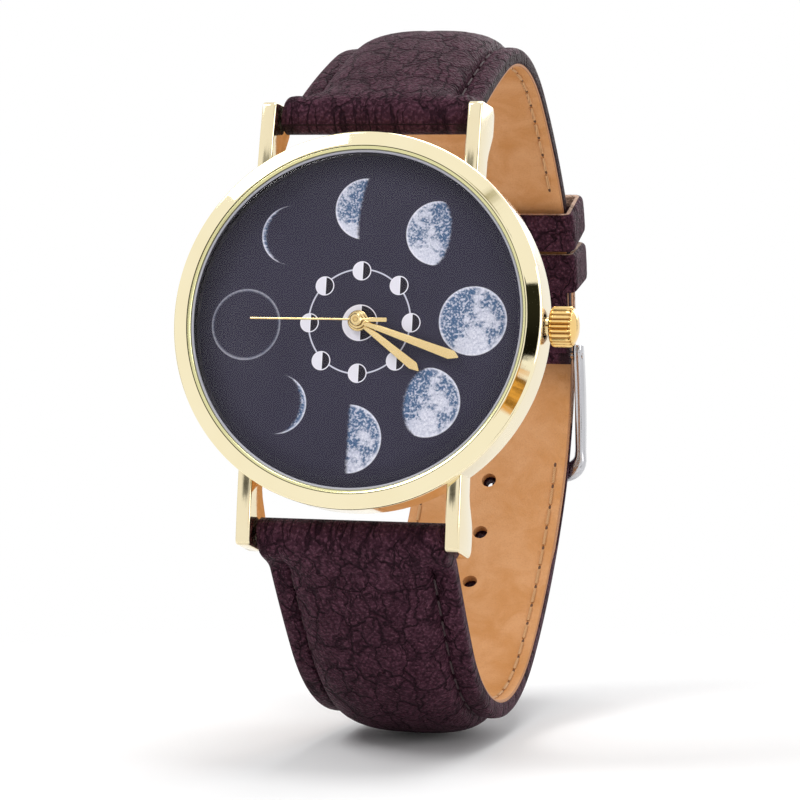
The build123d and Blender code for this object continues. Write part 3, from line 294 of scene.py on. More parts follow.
# A material's graph. Lengths in it are millimetres, made from the place on the object in metres.
class Paint(Graph):
    def __init__(self, name):
        self.material = bpy.data.materials.new(name)
        self.material.use_nodes = True
        super().__init__(self.material.node_tree)
        self.shader = self.tree.nodes["Principled BSDF"]
        self.place = self.node("TexCoord")["Object"]

    def in_millimetres(self):
        return self.scaled(self.place, PER_METRE)

    # The same place in the head's own axes: towards the crown, towards twelve, out of the dial
    def in_head(self):
        middle = tuple(HEAD_BACKWARDS.translation)
        return self.mapped(self.place, location=middle, rotation=HEAD_UNTURN, scale=(PER_METRE,) * 3)

    # Where a point lies on the strap: across, along, and 1 on a cut edge
    def on_strap(self):
        return self.node("Attribute", attribute_name="lie")["Vector"]

    def finished(self, colour, roughness, others):
        self.feed(self.shader, {"Base Color": colour, "Roughness": roughness, **others})
        return self.material


GRAIN_DEPTH = 0.00002
SPECULAR = "Specular IOR Level"


def metal(name, colour, shade, roughness, scratches=0.02, brushed=(1.0, 1.0, 1.0)):
    paint = Paint(name)
    spot = paint.in_millimetres()
    toned = paint.mix(paint.clouds(spot, 0.16), colour, shade)
    grain = paint.clouds(paint.mapped(spot, scale=brushed), 3.2, 4.0, 0.6)
    smears = paint.ramp(paint.clouds(spot, 0.55, 4.0, 0.6, 0.4), 0.42, 0.72)
    wear = paint.times_plus(grain, 0.05, paint.times_plus(smears, 0.06, roughness))
    relief = paint.bump(grain, scratches, GRAIN_DEPTH)
    return paint.finished(toned, wear, {"Metallic": 1.0, "Normal": relief})


def moulded(name, colour, shade, roughness):
    paint = Paint(name)
    spot = paint.in_millimetres()
    toned = paint.mix(paint.clouds(spot, 0.35), colour, shade)
    grain = paint.clouds(spot, 6.0, 3.0, 0.6)
    wear = paint.times_plus(grain, 0.14, roughness - 0.07)
    return paint.finished(toned, wear, {"Normal": paint.bump(grain, 0.12, GRAIN_DEPTH)})


case_gold = metal("polished champagne case", (0.90, 0.80, 0.56), (0.84, 0.72, 0.46), 0.05)
hand_gold = metal("warm gold hands", (0.84, 0.65, 0.33), (0.76, 0.55, 0.26), 0.14)
bright_steel = metal("polished buckle steel", (0.60, 0.60, 0.62), (0.48, 0.48, 0.51), 0.12, 0.05)
plain_steel = metal("satin steel", (0.52, 0.52, 0.54), (0.42, 0.42, 0.45), 0.28, 0.2, (1.0, 0.12, 0.12))
gear_brass = metal("stamped brass", (0.74, 0.55, 0.24), (0.66, 0.46, 0.18), 0.24, 0.15)
along_wire = (0.2, 9.0, 0.2)
coil_copper = metal("enamelled copper wire", (0.72, 0.33, 0.14), (0.56, 0.22, 0.09), 0.30, 0.3, along_wire)
ring_white = moulded("white moulded plastic", (0.80, 0.80, 0.78), (0.72, 0.72, 0.70), 0.42)
plate_grey = moulded("dark glass-filled plastic", (0.045, 0.05, 0.06), (0.03, 0.035, 0.04), 0.48)
board_green = moulded("green circuit board", (0.02, 0.13, 0.06), (0.015, 0.09, 0.045), 0.32)
gasket_pale = moulded("pale gasket", (0.50, 0.50, 0.55), (0.42, 0.42, 0.48), 0.36)
rim_dark = moulded("dark inner ring", (0.034, 0.030, 0.044), (0.026, 0.023, 0.034), 0.62)
seal_black = moulded("black seal", (0.02, 0.02, 0.022), (0.03, 0.03, 0.03), 0.55)
# Painted shade: the colour of the dark dots that stand for needle holes
stitch_hole_shade = moulded("needle hole", (0.085, 0.034, 0.014), (0.12, 0.05, 0.02), 0.7)

# Radii on the bezel: its lip, painted olive as a reflection of the dial and the far lip, the painted shade
# line outside the lip, and its wall under the glass, painted near black as shade
LIP_REACH = (17.46, 17.40)
LIP_SHADE_LINE = 17.47
GLASS_SHADE_REACH = (16.98, 16.92)


def mirror_bezel():
    paint = Paint("mirror champagne bezel")
    spot = paint.in_head()
    reach = paint.length(paint.flat(spot))
    grain = paint.clouds(spot, 3.2, 4.0, 0.6)
    gold = paint.mix(paint.clouds(spot, 0.16), (0.95, 0.86, 0.60), (0.90, 0.79, 0.51))
    lip = paint.ramp(reach, *LIP_REACH)
    # Painted reflection: the lip is olive, as it would mirror the dial and the far lip
    gold = paint.mix(lip, gold, (0.74, 0.70, 0.38))
    # Painted shade: near black on the wall under the glass
    gold = paint.mix(paint.ramp(reach, *GLASS_SHADE_REACH), gold, (0.012, 0.010, 0.015))
    # Painted shade: a dark line in the groove outside the lip
    line = paint.ramp(paint.apart(reach, LIP_SHADE_LINE), 0.06, 0.02)
    gold = paint.mix(line, gold, (0.10, 0.09, 0.04))
    wear = paint.times_plus(paint.ramp(grain, 0.5, 0.75), 0.03, 0.025)
    wear = paint.times_plus(lip, 0.16, wear)
    return paint.finished(gold, wear, {"Metallic": 1.0, "Normal": paint.bump(grain, 0.015, GRAIN_DEPTH)})


# The crown is a warmer gold, with painted shade down in its flutes, which end short of its cap
def fluted_gold():
    paint = Paint("warm gold crown")
    spot = paint.in_head()
    parts = paint.split(spot)
    reach = paint.length(paint.combine(parts[1], paint.minus(parts[2], STEM_HEIGHT)))
    beside_cap = paint.ramp(parts[0], 21.55, 21.45)
    # Painted shade in the flutes
    flute_shade = paint.times(paint.ramp(reach, 1.95, 1.84), beside_cap)
    grain = paint.clouds(spot, 4.0, 4.0, 0.6)
    gold = paint.mix(paint.clouds(spot, 0.6), (0.95, 0.68, 0.28), (0.86, 0.56, 0.20))
    gold = paint.mix(paint.times(flute_shade, 0.9), gold, (0.33, 0.14, 0.025))
    wear = paint.times_plus(grain, 0.08, 0.09)
    return paint.finished(gold, wear, {"Metallic": 1.0, "Normal": paint.bump(grain, 0.03, GRAIN_DEPTH)})


# The case back is brushed in circles round its middle
def brushed_back():
    paint = Paint("brushed case back")
    spot = paint.in_head()
    parts = paint.split(spot)
    ringed = paint.combine(paint.length(spot), paint.maths("ARCTAN2", parts[1], parts[0]))
    strokes = paint.clouds(paint.mapped(ringed, scale=(9.0, 0.7, 1.0)), 2.0, 4.0, 0.65)
    colour = paint.mix(paint.clouds(spot, 0.2), (0.58, 0.57, 0.55), (0.50, 0.49, 0.47))
    wear = paint.times_plus(strokes, 0.18, 0.18)
    return paint.finished(colour, wear, {"Metallic": 1.0, "Normal": paint.bump(strokes, 0.35, GRAIN_DEPTH)})


# Light passes the glass unbent on its way to the dial
def watch_glass():
    paint = Paint("domed watch glass")
    smears = paint.clouds(paint.in_millimetres(), 0.5, 4.0, 0.6, 0.5)
    wear = paint.times(paint.ramp(smears, 0.55, 0.8), 0.015)
    paint.finished((1.0, 1.0, 1.0, 1), wear, {"IOR": 1.2, "Transmission Weight": 1.0})
    path = paint.node("LightPath")
    unseen = paint.larger(path["Is Shadow Ray"], path["Is Diffuse Ray"])
    clear = paint.node("BsdfTransparent")[0]
    mixed = paint.node("MixShader", {0: unseen, 1: paint.shader.outputs[0], 2: clear})[0]
    paint.feed(paint.tree.nodes["Material Output"], {"Surface": mixed})
    return paint.material


# A group's inputs are numbers, or a vector where no value is given, and its outputs are numbers
def new_group(name, inputs, outputs):
    tree = bpy.data.node_groups.new(name, "ShaderNodeTree")
    for label, value in inputs.items():
        kind = "NodeSocketVector" if value is None else "NodeSocketFloat"
        socket = tree.interface.new_socket(label, in_out="INPUT", socket_type=kind)
        if value is not None:
            socket.default_value = value
    for label in outputs:
        tree.interface.new_socket(label, in_out="OUTPUT", socket_type="NodeSocketFloat")
    return Graph(tree), tree.nodes.new("NodeGroupInput").outputs, tree.nodes.new("NodeGroupOutput")


# Marks on the dial. A point on the dial is measured from its middle in millimetres.
def moon_marks():
    inputs = {"Dial Point": None, "Across": 0.0, "Up": 0.0, "Radius": 3.0, "Lean": 0.0}
    inputs.update({"Lit Side": 1.0, "Shadow Edge": 0.0, "Haze": 0.0})
    graph, taken, given = new_group("printed moon", inputs, ("Cover", "Tone", "Blue"))
    moved = graph.vectors("SUBTRACT", taken["Dial Point"], graph.combine(taken["Across"], taken["Up"]))
    leaned = graph.node("VectorRotate", {"Vector": moved, "Angle": taken["Lean"]}, rotation_type="Z_AXIS")[0]
    spot = graph.scaled(leaned, graph.maths("DIVIDE", 1.0, taken["Radius"]))
    across, up, _ = graph.split(spot)
    flat = graph.flat(spot)
    reach = graph.length(flat)
    inside = graph.ramp(reach, 1.012, 0.985)
    limb = graph.ramp(reach, 0.90, 0.985)
    # The shadow's edge is half an ellipse, made ragged
    chord = graph.maths("SQRT", graph.larger(graph.minus(1.0, graph.times(up, up)), 0.0))
    towards_light = graph.times(across, taken["Lit Side"])
    lit = graph.minus(towards_light, graph.times(chord, taken["Shadow Edge"]))
    lit = graph.plus(lit, graph.times_plus(graph.clouds(flat, 9.0, 5.0, 0.75), 0.22, -0.11))
    dusk = graph.ramp(lit, 0.0, 0.7, 1.0, 0.0)
    haze = graph.times(taken["Haze"], limb)
    cover = graph.times(inside, graph.larger(graph.ramp(lit, -0.04, 0.09), haze))
    # Seas gather in the upper left and beside the shadow, all broken into fine speckle
    shifted = graph.mapped(flat, location=(3.1, 1.7, 0.4))
    broad = graph.clouds(shifted, 1.6, 3.0, 0.6, 0.5)
    specks = graph.clouds(flat, 12.0, 6.0, 0.85)
    lean_up = graph.times_plus(towards_light, -0.10, graph.times(up, 0.10))
    density = graph.times_plus(dusk, 0.12, graph.plus(broad, lean_up))
    density = graph.ramp(density, 0.35, 0.56)
    seas = graph.ramp(graph.times_plus(density, 0.26, specks), 0.52, 0.74)
    seas = graph.times(seas, graph.minus(1.0, graph.times(limb, 0.8)))
    dots = graph.ramp(graph.clouds(shifted, 16.0, 2.0, 0.5), 0.36, 0.54, 0.25, 1.0)
    seas = graph.times(seas, dots)
    tone = graph.plus(graph.times_plus(specks, 4.6, -1.75), 0.25)
    for share, weight in ((dots, -0.25), (limb, 0.25), (dusk, -0.12)):
        tone = graph.times_plus(share, weight, tone)
    graph.feed(given, {"Cover": cover, "Tone": tone, "Blue": seas})
    return graph.tree


def half_marks():
    inputs = {"Dial Point": None, "Across": 0.0, "Up": 0.0, "Radius": 0.97}
    graph, taken, given = new_group("half filled mark", inputs, ("White", "Inside"))
    spot = graph.vectors("SUBTRACT", taken["Dial Point"], graph.combine(taken["Across"], taken["Up"]))
    across = graph.split(spot)[0]
    left_over = graph.minus(taken["Radius"], graph.length(graph.flat(spot)))
    inside = graph.ramp(left_over, -0.02, 0.02)
    rim = graph.minus(1.0, graph.ramp(left_over, 0.07, 0.13))
    line = graph.ramp(graph.apart(across, 0.05), 0.09, 0.05)
    left_half = graph.ramp(across, 0.03, -0.03, 0.0, 0.92)
    white = graph.times(inside, graph.larger(graph.larger(rim, left_half), line))
    graph.feed(given, {"White": white, "Inside": inside})
    return graph.tree


# Big moons: across, up, radius, lean in degrees, lit side, shadow edge, haze on the dark rim
BIG_MOONS = [
    (11.67, 0.21, 3.47, 0, 1, -1.2, 0),
    (7.60, 8.97, 3.25, 5, -1, -0.42, 0),
    (-0.03, 11.4, 3.1, 7, -1, 0.14, 0),
    (-7.73, 8.68, 2.98, 2, -1, 0.84, 0),
    (-11.84, -0.48, 3.62, 0, -1, 1.3, 0.42),
    (-8.0, -8.5, 3.0, 9, 1, 0.78, 0),
    (-0.48, -11.82, 3.45, 0, 1, -0.02, 0),
    (7.33, -7.99, 3.5, 8, 1, -0.66, 0),
]
# Half filled marks: across and up on a thin ring, and a bigger one in the middle
MARK_PLACES = [(-0.02, 5.12), (3.91, 3.68), (5.36, -0.06), (3.96, -3.91), (0.10, -5.22), (-3.74, -4.02)]
MARK_PLACES += [(-5.18, -0.21), (-3.79, 3.55)]
HALF_MARKS = [(across, up, 0.97) for across, up in MARK_PLACES] + [(0.06, -0.13, 1.84)]
HALF_RING = 5.28


def printed_dial():
    paint = Paint("printed slate dial")
    flat = paint.flat(paint.in_head())
    reach = paint.length(flat)
    grain = paint.clouds(flat, 3.0, 4.0, 0.6)
    colour = paint.mix(paint.clouds(flat, 0.09, 2.0), (0.043, 0.040, 0.063), (0.052, 0.048, 0.076))
    colour = paint.mix(paint.times(grain, 0.08), colour, (0.020, 0.018, 0.030))
    # Painted shade from the bezel: the dial is darker towards its rim
    colour = paint.mix(paint.ramp(reach, 14.0, 17.0, 0.0, 0.35), colour, (0.018, 0.015, 0.027))
    circle = paint.ramp(paint.apart(reach, HALF_RING), 0.10, 0.05)
    colour = paint.mix(paint.times(circle, 0.85), colour, (0.74, 0.74, 0.86))
    half_group = half_marks()
    for across, up, radius in HALF_MARKS:
        inputs = {"Dial Point": flat, "Across": across, "Up": up, "Radius": radius}
        mark = paint.node("Group", inputs, node_tree=half_group)
        colour = paint.mix(mark["Inside"], colour, (0.030, 0.026, 0.036))
        colour = paint.mix(mark["White"], colour, (0.88, 0.86, 0.95))
    moon_group = moon_marks()
    for across, up, radius, lean, side, shadow, haze in BIG_MOONS:
        inputs = {"Dial Point": flat, "Across": across, "Up": up, "Radius": radius}
        inputs.update({"Lean": math.radians(lean), "Lit Side": side, "Shadow Edge": shadow, "Haze": haze})
        mark = paint.node("Group", inputs, node_tree=moon_group)
        pale = paint.mix(mark["Tone"], (0.42, 0.44, 0.58), (0.88, 0.88, 0.97))
        painted = paint.mix(mark["Blue"], pale, (0.070, 0.135, 0.26))
        colour = paint.mix(mark["Cover"], colour, painted)
    return paint.finished(colour, paint.times_plus(grain, 0.12, 0.50), {SPECULAR: 0.0})


LEATHER = (0.068, 0.022, 0.037)
LEATHER_SHADE = (0.092, 0.031, 0.052)
# Painted highlight on the pebble tops
LEATHER_SHEEN = (0.27, 0.13, 0.18)
# Painted shade between the pebbles and in the creases
PEBBLE_GAP_SHADE = (0.014, 0.004, 0.009)
CREASE_SHADE_COLOUR = (0.009, 0.003, 0.006)


def strap_leather(name, cut_colour):
    paint = Paint(name)
    spot = paint.in_millimetres()
    lie = paint.on_strap()
    _, down_strap, cut = paint.split(lie)
    # Creases in a loose net, finer ones inside it, and lengthwise folds beside the lugs
    swirl = paint.node("TexNoise", {"Vector": lie, "Scale": 0.55, "Detail": 4.0})["Color"]
    warped = paint.vectors("MULTIPLY_ADD", swirl, (2.6, 2.6, 0.0), lie)
    deep_net = paint.cells(paint.mapped(warped, scale=(0.42, 0.27, 0.0)), 1.0, "DISTANCE_TO_EDGE")
    fine_net = paint.cells(paint.mapped(warped, scale=(1.35, 0.95, 0.0)), 1.0, "DISTANCE_TO_EDGE")
    broken = paint.clouds(lie, 0.45, 3.0, 0.6)
    deep_lines = paint.larger(paint.ramp(deep_net, 0.0, 0.060), paint.ramp(broken, 0.52, 0.66, 0.0, 0.85))
    fine_lines = paint.larger(paint.ramp(fine_net, 0.0, 0.13), paint.ramp(broken, 0.58, 0.44, 0.0, 0.6))
    by_lug = paint.ramp(down_strap, 14.0, 3.0, 0.0, 0.45)
    by_lug = paint.plus(by_lug, paint.ramp(broken, 0.56, 0.46, 0.0, 0.5))
    folds = 1.0
    for spread, turn in (((0.40, 0.10, 0.0), 0.25), ((0.30, 0.13, 0.0), -0.5)):
        laid = paint.mapped(warped, scale=spread, rotation=(0.0, 0.0, turn))
        folded = paint.clouds(laid, 1.0, 2.0, 0.5)
        folds = paint.times(folds, paint.ramp(paint.apart(folded, 0.5), 0.0, 0.014))
    folds = paint.times_plus(paint.minus(folds, 1.0), by_lug, 1.0)
    deep_lines = paint.times(deep_lines, folds)
    # Pebbled grain and pores
    pebbles = paint.ramp(paint.cells(spot, 3.1, "SMOOTH_F1"), 0.60, 0.10)
    pores = paint.clouds(spot, 7.0, 4.0, 0.75)
    height = paint.times_plus(pebbles, 0.32, paint.times(deep_lines, 0.62))
    for share in (fine_lines, pores):
        height = paint.times_plus(share, 0.30, height)
    # Colour: painted shade between the pebbles and in the creases, and painted highlights on the pebble tops
    mottle = paint.ramp(paint.clouds(spot, 0.3, 4.0, 0.6, 0.3), 0.3, 0.7)
    base = paint.mix(mottle, LEATHER, LEATHER_SHADE)
    deep = paint.times(deep_lines, paint.times_plus(fine_lines, 0.45, 0.55))
    # Painted shade between the pebbles, then in the creases
    base = paint.mix(paint.times_plus(pebbles, -0.55, 0.5), base, PEBBLE_GAP_SHADE)
    base = paint.mix(paint.times_plus(deep, -0.75, 0.75), base, CREASE_SHADE_COLOUR)
    # Painted highlights: pale glints on the pebble tops, away from the creases
    glints = paint.ramp(paint.clouds(spot, 5.0, 3.0, 0.7), 0.60, 0.70, 0.45, 1.0)
    pebble_highlight = paint.times(pebbles, paint.ramp(pores, 0.42, 0.62))
    pebble_highlight = paint.times(pebble_highlight, paint.times(deep, glints))
    base = paint.mix(paint.times(pebble_highlight, 0.75), base, LEATHER_SHEEN)
    base = paint.mix(paint.ramp(cut, 0.35, 0.65), base, cut_colour)
    rough = paint.plus(paint.times_plus(pores, 0.22, 0.38), 0.08)
    rough = paint.times_plus(deep, -0.10, rough)
    return paint.finished(base, rough, {SPECULAR: 0.04, "Normal": paint.bump(height, 1.0, 0.00040)})


def strap_lining():
    paint = Paint("tan lining leather")
    spot = paint.in_millimetres()
    cut = paint.split(paint.on_strap())[2]
    mottle = paint.ramp(paint.clouds(spot, 0.22, 5.0, 0.6, 0.5), 0.3, 0.7)
    fine = paint.clouds(spot, 5.0, 4.0, 0.7)
    net = paint.ramp(paint.cells(spot, 3.2, "DISTANCE_TO_EDGE"), 0.0, 0.2)
    tan = paint.mix(mottle, (0.56, 0.25, 0.075), (0.66, 0.34, 0.15))
    tan = paint.mix(paint.ramp(fine, 0.45, 0.75, 0.0, 0.30), tan, (0.40, 0.17, 0.06))
    tan = paint.mix(paint.ramp(cut, 0.35, 0.65), tan, (0.44, 0.20, 0.085))
    relief = paint.bump(paint.times_plus(net, 0.5, paint.times(fine, 0.5)), 0.35, 0.00006)
    return paint.finished(tan, paint.times_plus(fine, 0.2, 0.42), {SPECULAR: 0.3, "Normal": relief})


def waxed_thread(name, colour, shade):
    paint = Paint(name)
    inputs = {"Vector": paint.in_millimetres(), "Scale": 2.2, "Distortion": 1.5, "Detail": 2.0}
    ply = paint.node("TexWave", inputs, bands_direction="DIAGONAL")["Fac"]
    return paint.finished(paint.mix(ply, shade, colour), 0.6, {"Normal": paint.bump(ply, 0.6, 0.00004)})


plum_leather = strap_leather("plum brown leather", (0.030, 0.014, 0.018))
tail_leather = strap_leather("plum leather with pale edges", (0.66, 0.45, 0.34))
tan_leather = strap_lining()
dark_thread = waxed_thread("dark waxed thread", (0.075, 0.036, 0.042), (0.02, 0.008, 0.012))
tan_thread = waxed_thread("tan waxed thread", (0.66, 0.38, 0.17), (0.40, 0.19, 0.07))
glass = watch_glass()
bezel_gold = mirror_bezel()
crown_gold = fluted_gold()
slate = printed_dial()
back_steel = brushed_back()


# Case: a turned band, a turned bezel and four lugs
def turned_piece(name, outline, smooth, material, slot, node_name, closed=True):
    piece = turned(name, outline, closed)
    settle(piece, HEAD, smooth, material, "case", slot, node_name)


band_outline = [(17.3, 0.6), (17.95, 0.62)] + arc((17.4, 2.2), 1.6, -66, 0, 10)
band_outline += [(19.0, 5.86), (18.92, 5.96), (18.0, 5.98), (18.0, 5.2), (17.02, 5.2), (17.02, 4.2)]
band_outline += [(16.27, 4.2), (16.27, 1.02), (17.3, 1.02)]
turned_piece("case_band", band_outline, 30, case_gold, "champagne_gold", "case_middle")
# The bezel's cone has a close row beside each of its edges, which keeps its shading even
bezel_outline = [(16.82, 5.16), (17.9, 5.16), (17.9, 6.0), (18.86, 6.0), (19.0, 6.08), (19.0, 6.22)]
bezel_outline += [(18.97, 6.31), (18.89, 6.38), (18.83, 6.408), (18.79, 6.4201), (17.76, 6.7319)]
bezel_outline += [(17.72, 6.744), (17.64, 6.766), (17.5, 6.785)]
bezel_outline += [(17.475, 6.70), (17.44, 6.70), (17.4, 6.71), (17.2, 6.63), (17.15, 6.58)]
bezel_outline += [(17.15, 5.56), (16.82, 5.56)]
turned_piece("bezel_ring", bezel_outline, 30, bezel_gold, "champagne_gold", "bezel")

# Each lug is a plate in the side view, thin at its waist, with a squared bevelled tip
LUG_INNER = 10.02
LUG_OUTER = 11.53
UPPER_TIP_SHORTER = 0.25
lug_outline = [(14.2, 5.44), (19.0, 5.22)] + arc((22.15, 4.42), 0.55, 84, 0, 6)
lug_outline += arc((21.85, 0.82), 1.15, 0, -90, 8)
lug_outline += [(20.7, -0.33), (20.0, -0.22), (19.2, 0.12), (18.4, 0.66), (17.6, 1.22), (16.8, 1.55)]
lug_outline += [(15.4, 1.66), (14.2, 1.68)]
lug_model = plate("lug_upper_right", lug_outline, LUG_INNER, LUG_OUTER)
soften(lug_model, 0.24, 4)
for side_name, flip_x in (("right", 1), ("left", -1)):
    for end_name, flip_y in (("upper", 1), ("lower", -1)):
        lug = copied(lug_model, "lug_" + end_name + "_" + side_name)
        for vertex in lug.data.vertices:
            if vertex.co.x > 20.0 and end_name == "upper":
                vertex.co.x -= UPPER_TIP_SHORTER
        mirrored = Matrix.Diagonal((flip_x, flip_y, 1, 1))
        settle(lug, HEAD @ mirrored @ SIDE_TURN, 30, case_gold, "case", "champagne_gold", "case_middle")
bpy.data.objects.remove(lug_model)

# Glass with its pale gasket, the case back, and the dial with its hole for the hands
DOME_STEPS = 24
glass_outline = [(0, 7.0)]
for step in range(1, DOME_STEPS + 1):
    glass_outline.append((16.4 * step / DOME_STEPS, 7.0 - 0.34 * (step / DOME_STEPS) ** 2))
glass_outline += [(16.62, 6.62), (16.8, 6.5), (16.83, 6.42), (16.83, 5.57)]
for step in range(DOME_STEPS, -1, -1):
    glass_outline.append((16.5 * step / DOME_STEPS, 6.25 - 0.68 * (step / DOME_STEPS) ** 2))
turned_piece("domed_glass", glass_outline, 40, glass, "glass", "crystal", closed=False)
gasket_outline = [(16.87, 5.57), (17.13, 5.57), (17.13, 6.38), (17.05, 6.46), (16.93, 6.46), (16.87, 6.4)]
turned_piece("glass_gasket", gasket_outline, 40, gasket_pale, "gasket", "crystal_gasket")
back_outline = [(0, 0.99), (17.2, 0.99), (17.24, 0.94), (17.24, 0.2), (17.1, 0.04), (16.9, 0.0), (14.5, 0.0)]
back_outline += [(14.3, 0.03), (14.15, 0.13), (14.0, 0.15), (0, 0.15)]
turned_piece("case_back_plate", back_outline, 30, back_steel, "steel", "case_back", closed=False)
dial_outline = [(0.96, 4.22), (16.93, 4.22), (16.93, 4.58), (16.9, 4.6), (1.0, 4.6), (0.96, 4.57)]
turned_piece("dial_plate", dial_outline, 30, slate, "dial_slate", "dial")


# Hands: flat batons that widen towards a pointed tip, with bevelled edges, each on its hub
def hand(name, outline, height, thickness, clock_angle, boss, body, node_name, cap=None):
    blade = plate(name, outline, height, height + thickness)
    soften(blade, thickness * 0.4, 2, 25)
    top = height + thickness * 1.1
    hub = [(0.0, height), (boss, height), (boss, top), (boss - 0.06, top + 0.05), (0.0, top + 0.05)]
    pieces = [blade, turned(name + "_hub", hub, closed=False, steps=64)]
    if cap:
        dome = [(0.0, height), (cap, height), (cap, 6.02), (cap - 0.07, 6.08)]
        dome += [(0.26, 6.08), (0.22, 6.02), (0.2, 5.98), (0.0, 5.97)]
        pieces.append(turned(name + "_cap", dome, closed=False, steps=64))
    whole = joined(pieces, name)
    turn = Matrix.Rotation(math.radians(-clock_angle), 4, "Z")
    settle(whole, HEAD @ turn, 30, hand_gold, body, "hand_gold", node_name)


def baton(reach, tail, root, wide, widest, skew):
    half_root = root / 2
    half_wide = wide / 2
    return [
        (-half_root, -tail),
        (half_root, -tail),
        (half_wide, reach * (widest - 0.03)),
        (half_wide * 0.12 + skew, reach),
        (-half_wide * 0.12 + skew, reach),
        (-half_wide, reach * widest),
    ]


hour_outline = baton(8.2, 0.4, 0.5, 0.95, 0.92, 0.05)
minute_outline = baton(11.2, 0.4, 0.46, 1.0, 0.945, 0.0)
second_outline = [(-0.22, -3.2), (0.22, -3.2), (0.22, -1.5), (0.1, -1.1), (0.1, 10.9), (0.05, 11.05)]
second_outline += [(-0.05, 11.05), (-0.1, 10.9), (-0.1, -1.1), (-0.22, -1.5)]
hand("hour_baton", hour_outline, 5.0, 0.16, 126.7, 1.05, "hours", "hour_hand")
hand("minute_baton", minute_outline, 5.4, 0.16, 108.7, 0.85, "minutes", "minute_hand")
hand("second_pointer", second_outline, 5.8, 0.14, 269.9, 0.62, "seconds", "second_hand", cap=0.56)

# Crown: a turned knob with two dozen flutes pushed into its side
FLUTE_STEPS = 8
CROWN_STEPS = 24 * FLUTE_STEPS
FLUTE_SHARES = {0: 0.905, 1: 0.918, 7: 0.918, 2: 0.965, 6: 0.965}
CROWN_FOOT = 19.3
crown_outline = [(0, 0.0), (1.3, 0.0), (1.7, 0.0), (1.86, 0.08), (1.98, 0.24), (2.0, 0.4), (2.0, 0.8)]
crown_outline += [(2.0, 1.2), (2.0, 1.6), (2.0, 1.9), (1.97, 2.06), (1.86, 2.2), (1.7, 2.3), (1.4, 2.46)]
crown_outline += [(1.0, 2.62), (0.5, 2.72), (0, 2.76)]
fluted_crown = turned("fluted_crown", crown_outline, closed=False, steps=CROWN_STEPS)
pick(fluted_crown)
for flute_step, share in FLUTE_SHARES.items():
    mode("EDIT")
    select_mesh("DESELECT")
    mode("OBJECT")
    for vertex in fluted_crown.data.vertices:
        x, y, z = vertex.co
        step = round(math.atan2(y, x) / math.tau * CROWN_STEPS) % FLUTE_STEPS
        vertex.select = math.hypot(x, y) > 1.84 and 0.07 < z < 2.21 and step == flute_step
    mode("EDIT")
    bpy.ops.transform.resize(value=(share, share, 1), center_override=(0, 0, 0))
    mode("OBJECT")
# The knob's own axis is turned to run along the stem
CROWN_TURN = Matrix(((0, 0, 1, CROWN_FOOT), (1, 0, 0, 0), (0, 1, 0, STEM_HEIGHT), (0, 0, 0, 1)))
settle(fluted_crown, HEAD @ CROWN_TURN, 40, crown_gold, "crown_body", "crown_gold", "crown")


# Strap. Its seam, where the leather meets the lining, is a chain of bends in the side view:
# each one the middle (towards twelve, out of the dial), radius, first angle and sweep.
SHORT_BENDS = [
    ((-49.68043543, -57.81138708), 92.1, 0.6981317008, -0.1815142422),
    ((12.92319949, -22.24757269), 20.1, 0.5166174586, -0.9616764178),
    ((-39.33648847, 2.67901982), 78.0, -0.4450589593, -0.1972222055),
    ((12.71105063, -36.25751409), 13.0, -0.6422811647, -0.3926990817),
    ((-3.11577982, -9.60209367), 44.0, -1.0349802464, -0.3403392041),
]
LONG_BENDS = [
    ((81.87741254, -106.66198781), 149.1, 2.3317598807, 0.1047197551),
    ((-14.60949103, -24.54519634), 22.4, 2.4364796358, 1.5009831567),
    ((12.34698907, 2.98185482), 60.92778692, -2.3457225147, 0.3533786683),
    ((0.36013781, -23.7488548), 31.63247262, -1.9923438463, 0.6624789413),
    ((-3.11577982, -9.60209367), 46.2, -1.3298649051, 0.3896103896),
]
SHORT_END = 71.5105
LONG_END = 109.72217
# Where each half's padding and its groove end
SHORT_SOFT = (50.0, 52.0)
LONG_SOFT = (54.0, 75.5)
TAIL_ROUND = 6.0
# The rolls round the spring bar and round the buckle's bar
ROLL = 1.95
ROLL_RISE = 0.95
CLASP_ROLL = 1.1
# Half the strap's width at the lugs, how much it loses, and the height over which it does
HALF_AT_LUGS = 9.8
HALF_TAPER = 0.8
TAPER_TOP = 2.0
TAPER_HEIGHT = 63.30209


def along(bends, length, offset=0.0):
    left = length
    for index, (middle, radius, first, sweep) in enumerate(bends):
        span = radius * abs(sweep)
        if left <= span or index == len(bends) - 1:
            angle = first + math.copysign(1, sweep) * left / radius
            out = Vector((math.cos(angle), math.sin(angle)))
            heading = Vector((-out.y, out.x)) * math.copysign(1, sweep)
            return Vector(middle) + out * (radius + offset), heading, out
        left -= span


def half_width(bends, length):
    place, _, _ = along(bends, length)
    depth = (TAPER_TOP - place.y) / TAPER_HEIGHT
    return HALF_AT_LUGS - HALF_TAPER * min(max(depth, 0.0), 1.0)


# The place of a piece on the strap: its x across, its y along, its z outwards
def laid_on(bends, length, across=0.0, rise=0.0):
    spot, heading, out = along(bends, length)
    spot = spot + out * rise
    rows = ((1, 0, 0, across), (0, heading.x, out.x, spot.x), (0, heading.y, out.y, spot.y), (0, 0, 0, 1))
    return Matrix(rows)


def eased(value, low, high):
    share = min(max((value - low) / (high - low), 0.0), 1.0)
    return share * share * (3 - 2 * share)


def quarter(steps, first=0):
    return [math.sin(math.radians(90 * step / steps)) for step in range(first, steps + 1)]


# Stations close up where the strap's tail is rounded, and its half width shrinks there
def tail_stations(stations, finish):
    kept = [station for station in stations if station < finish - TAIL_ROUND]
    return kept + [finish - TAIL_ROUND * (1 - share) for share in quarter(16)]


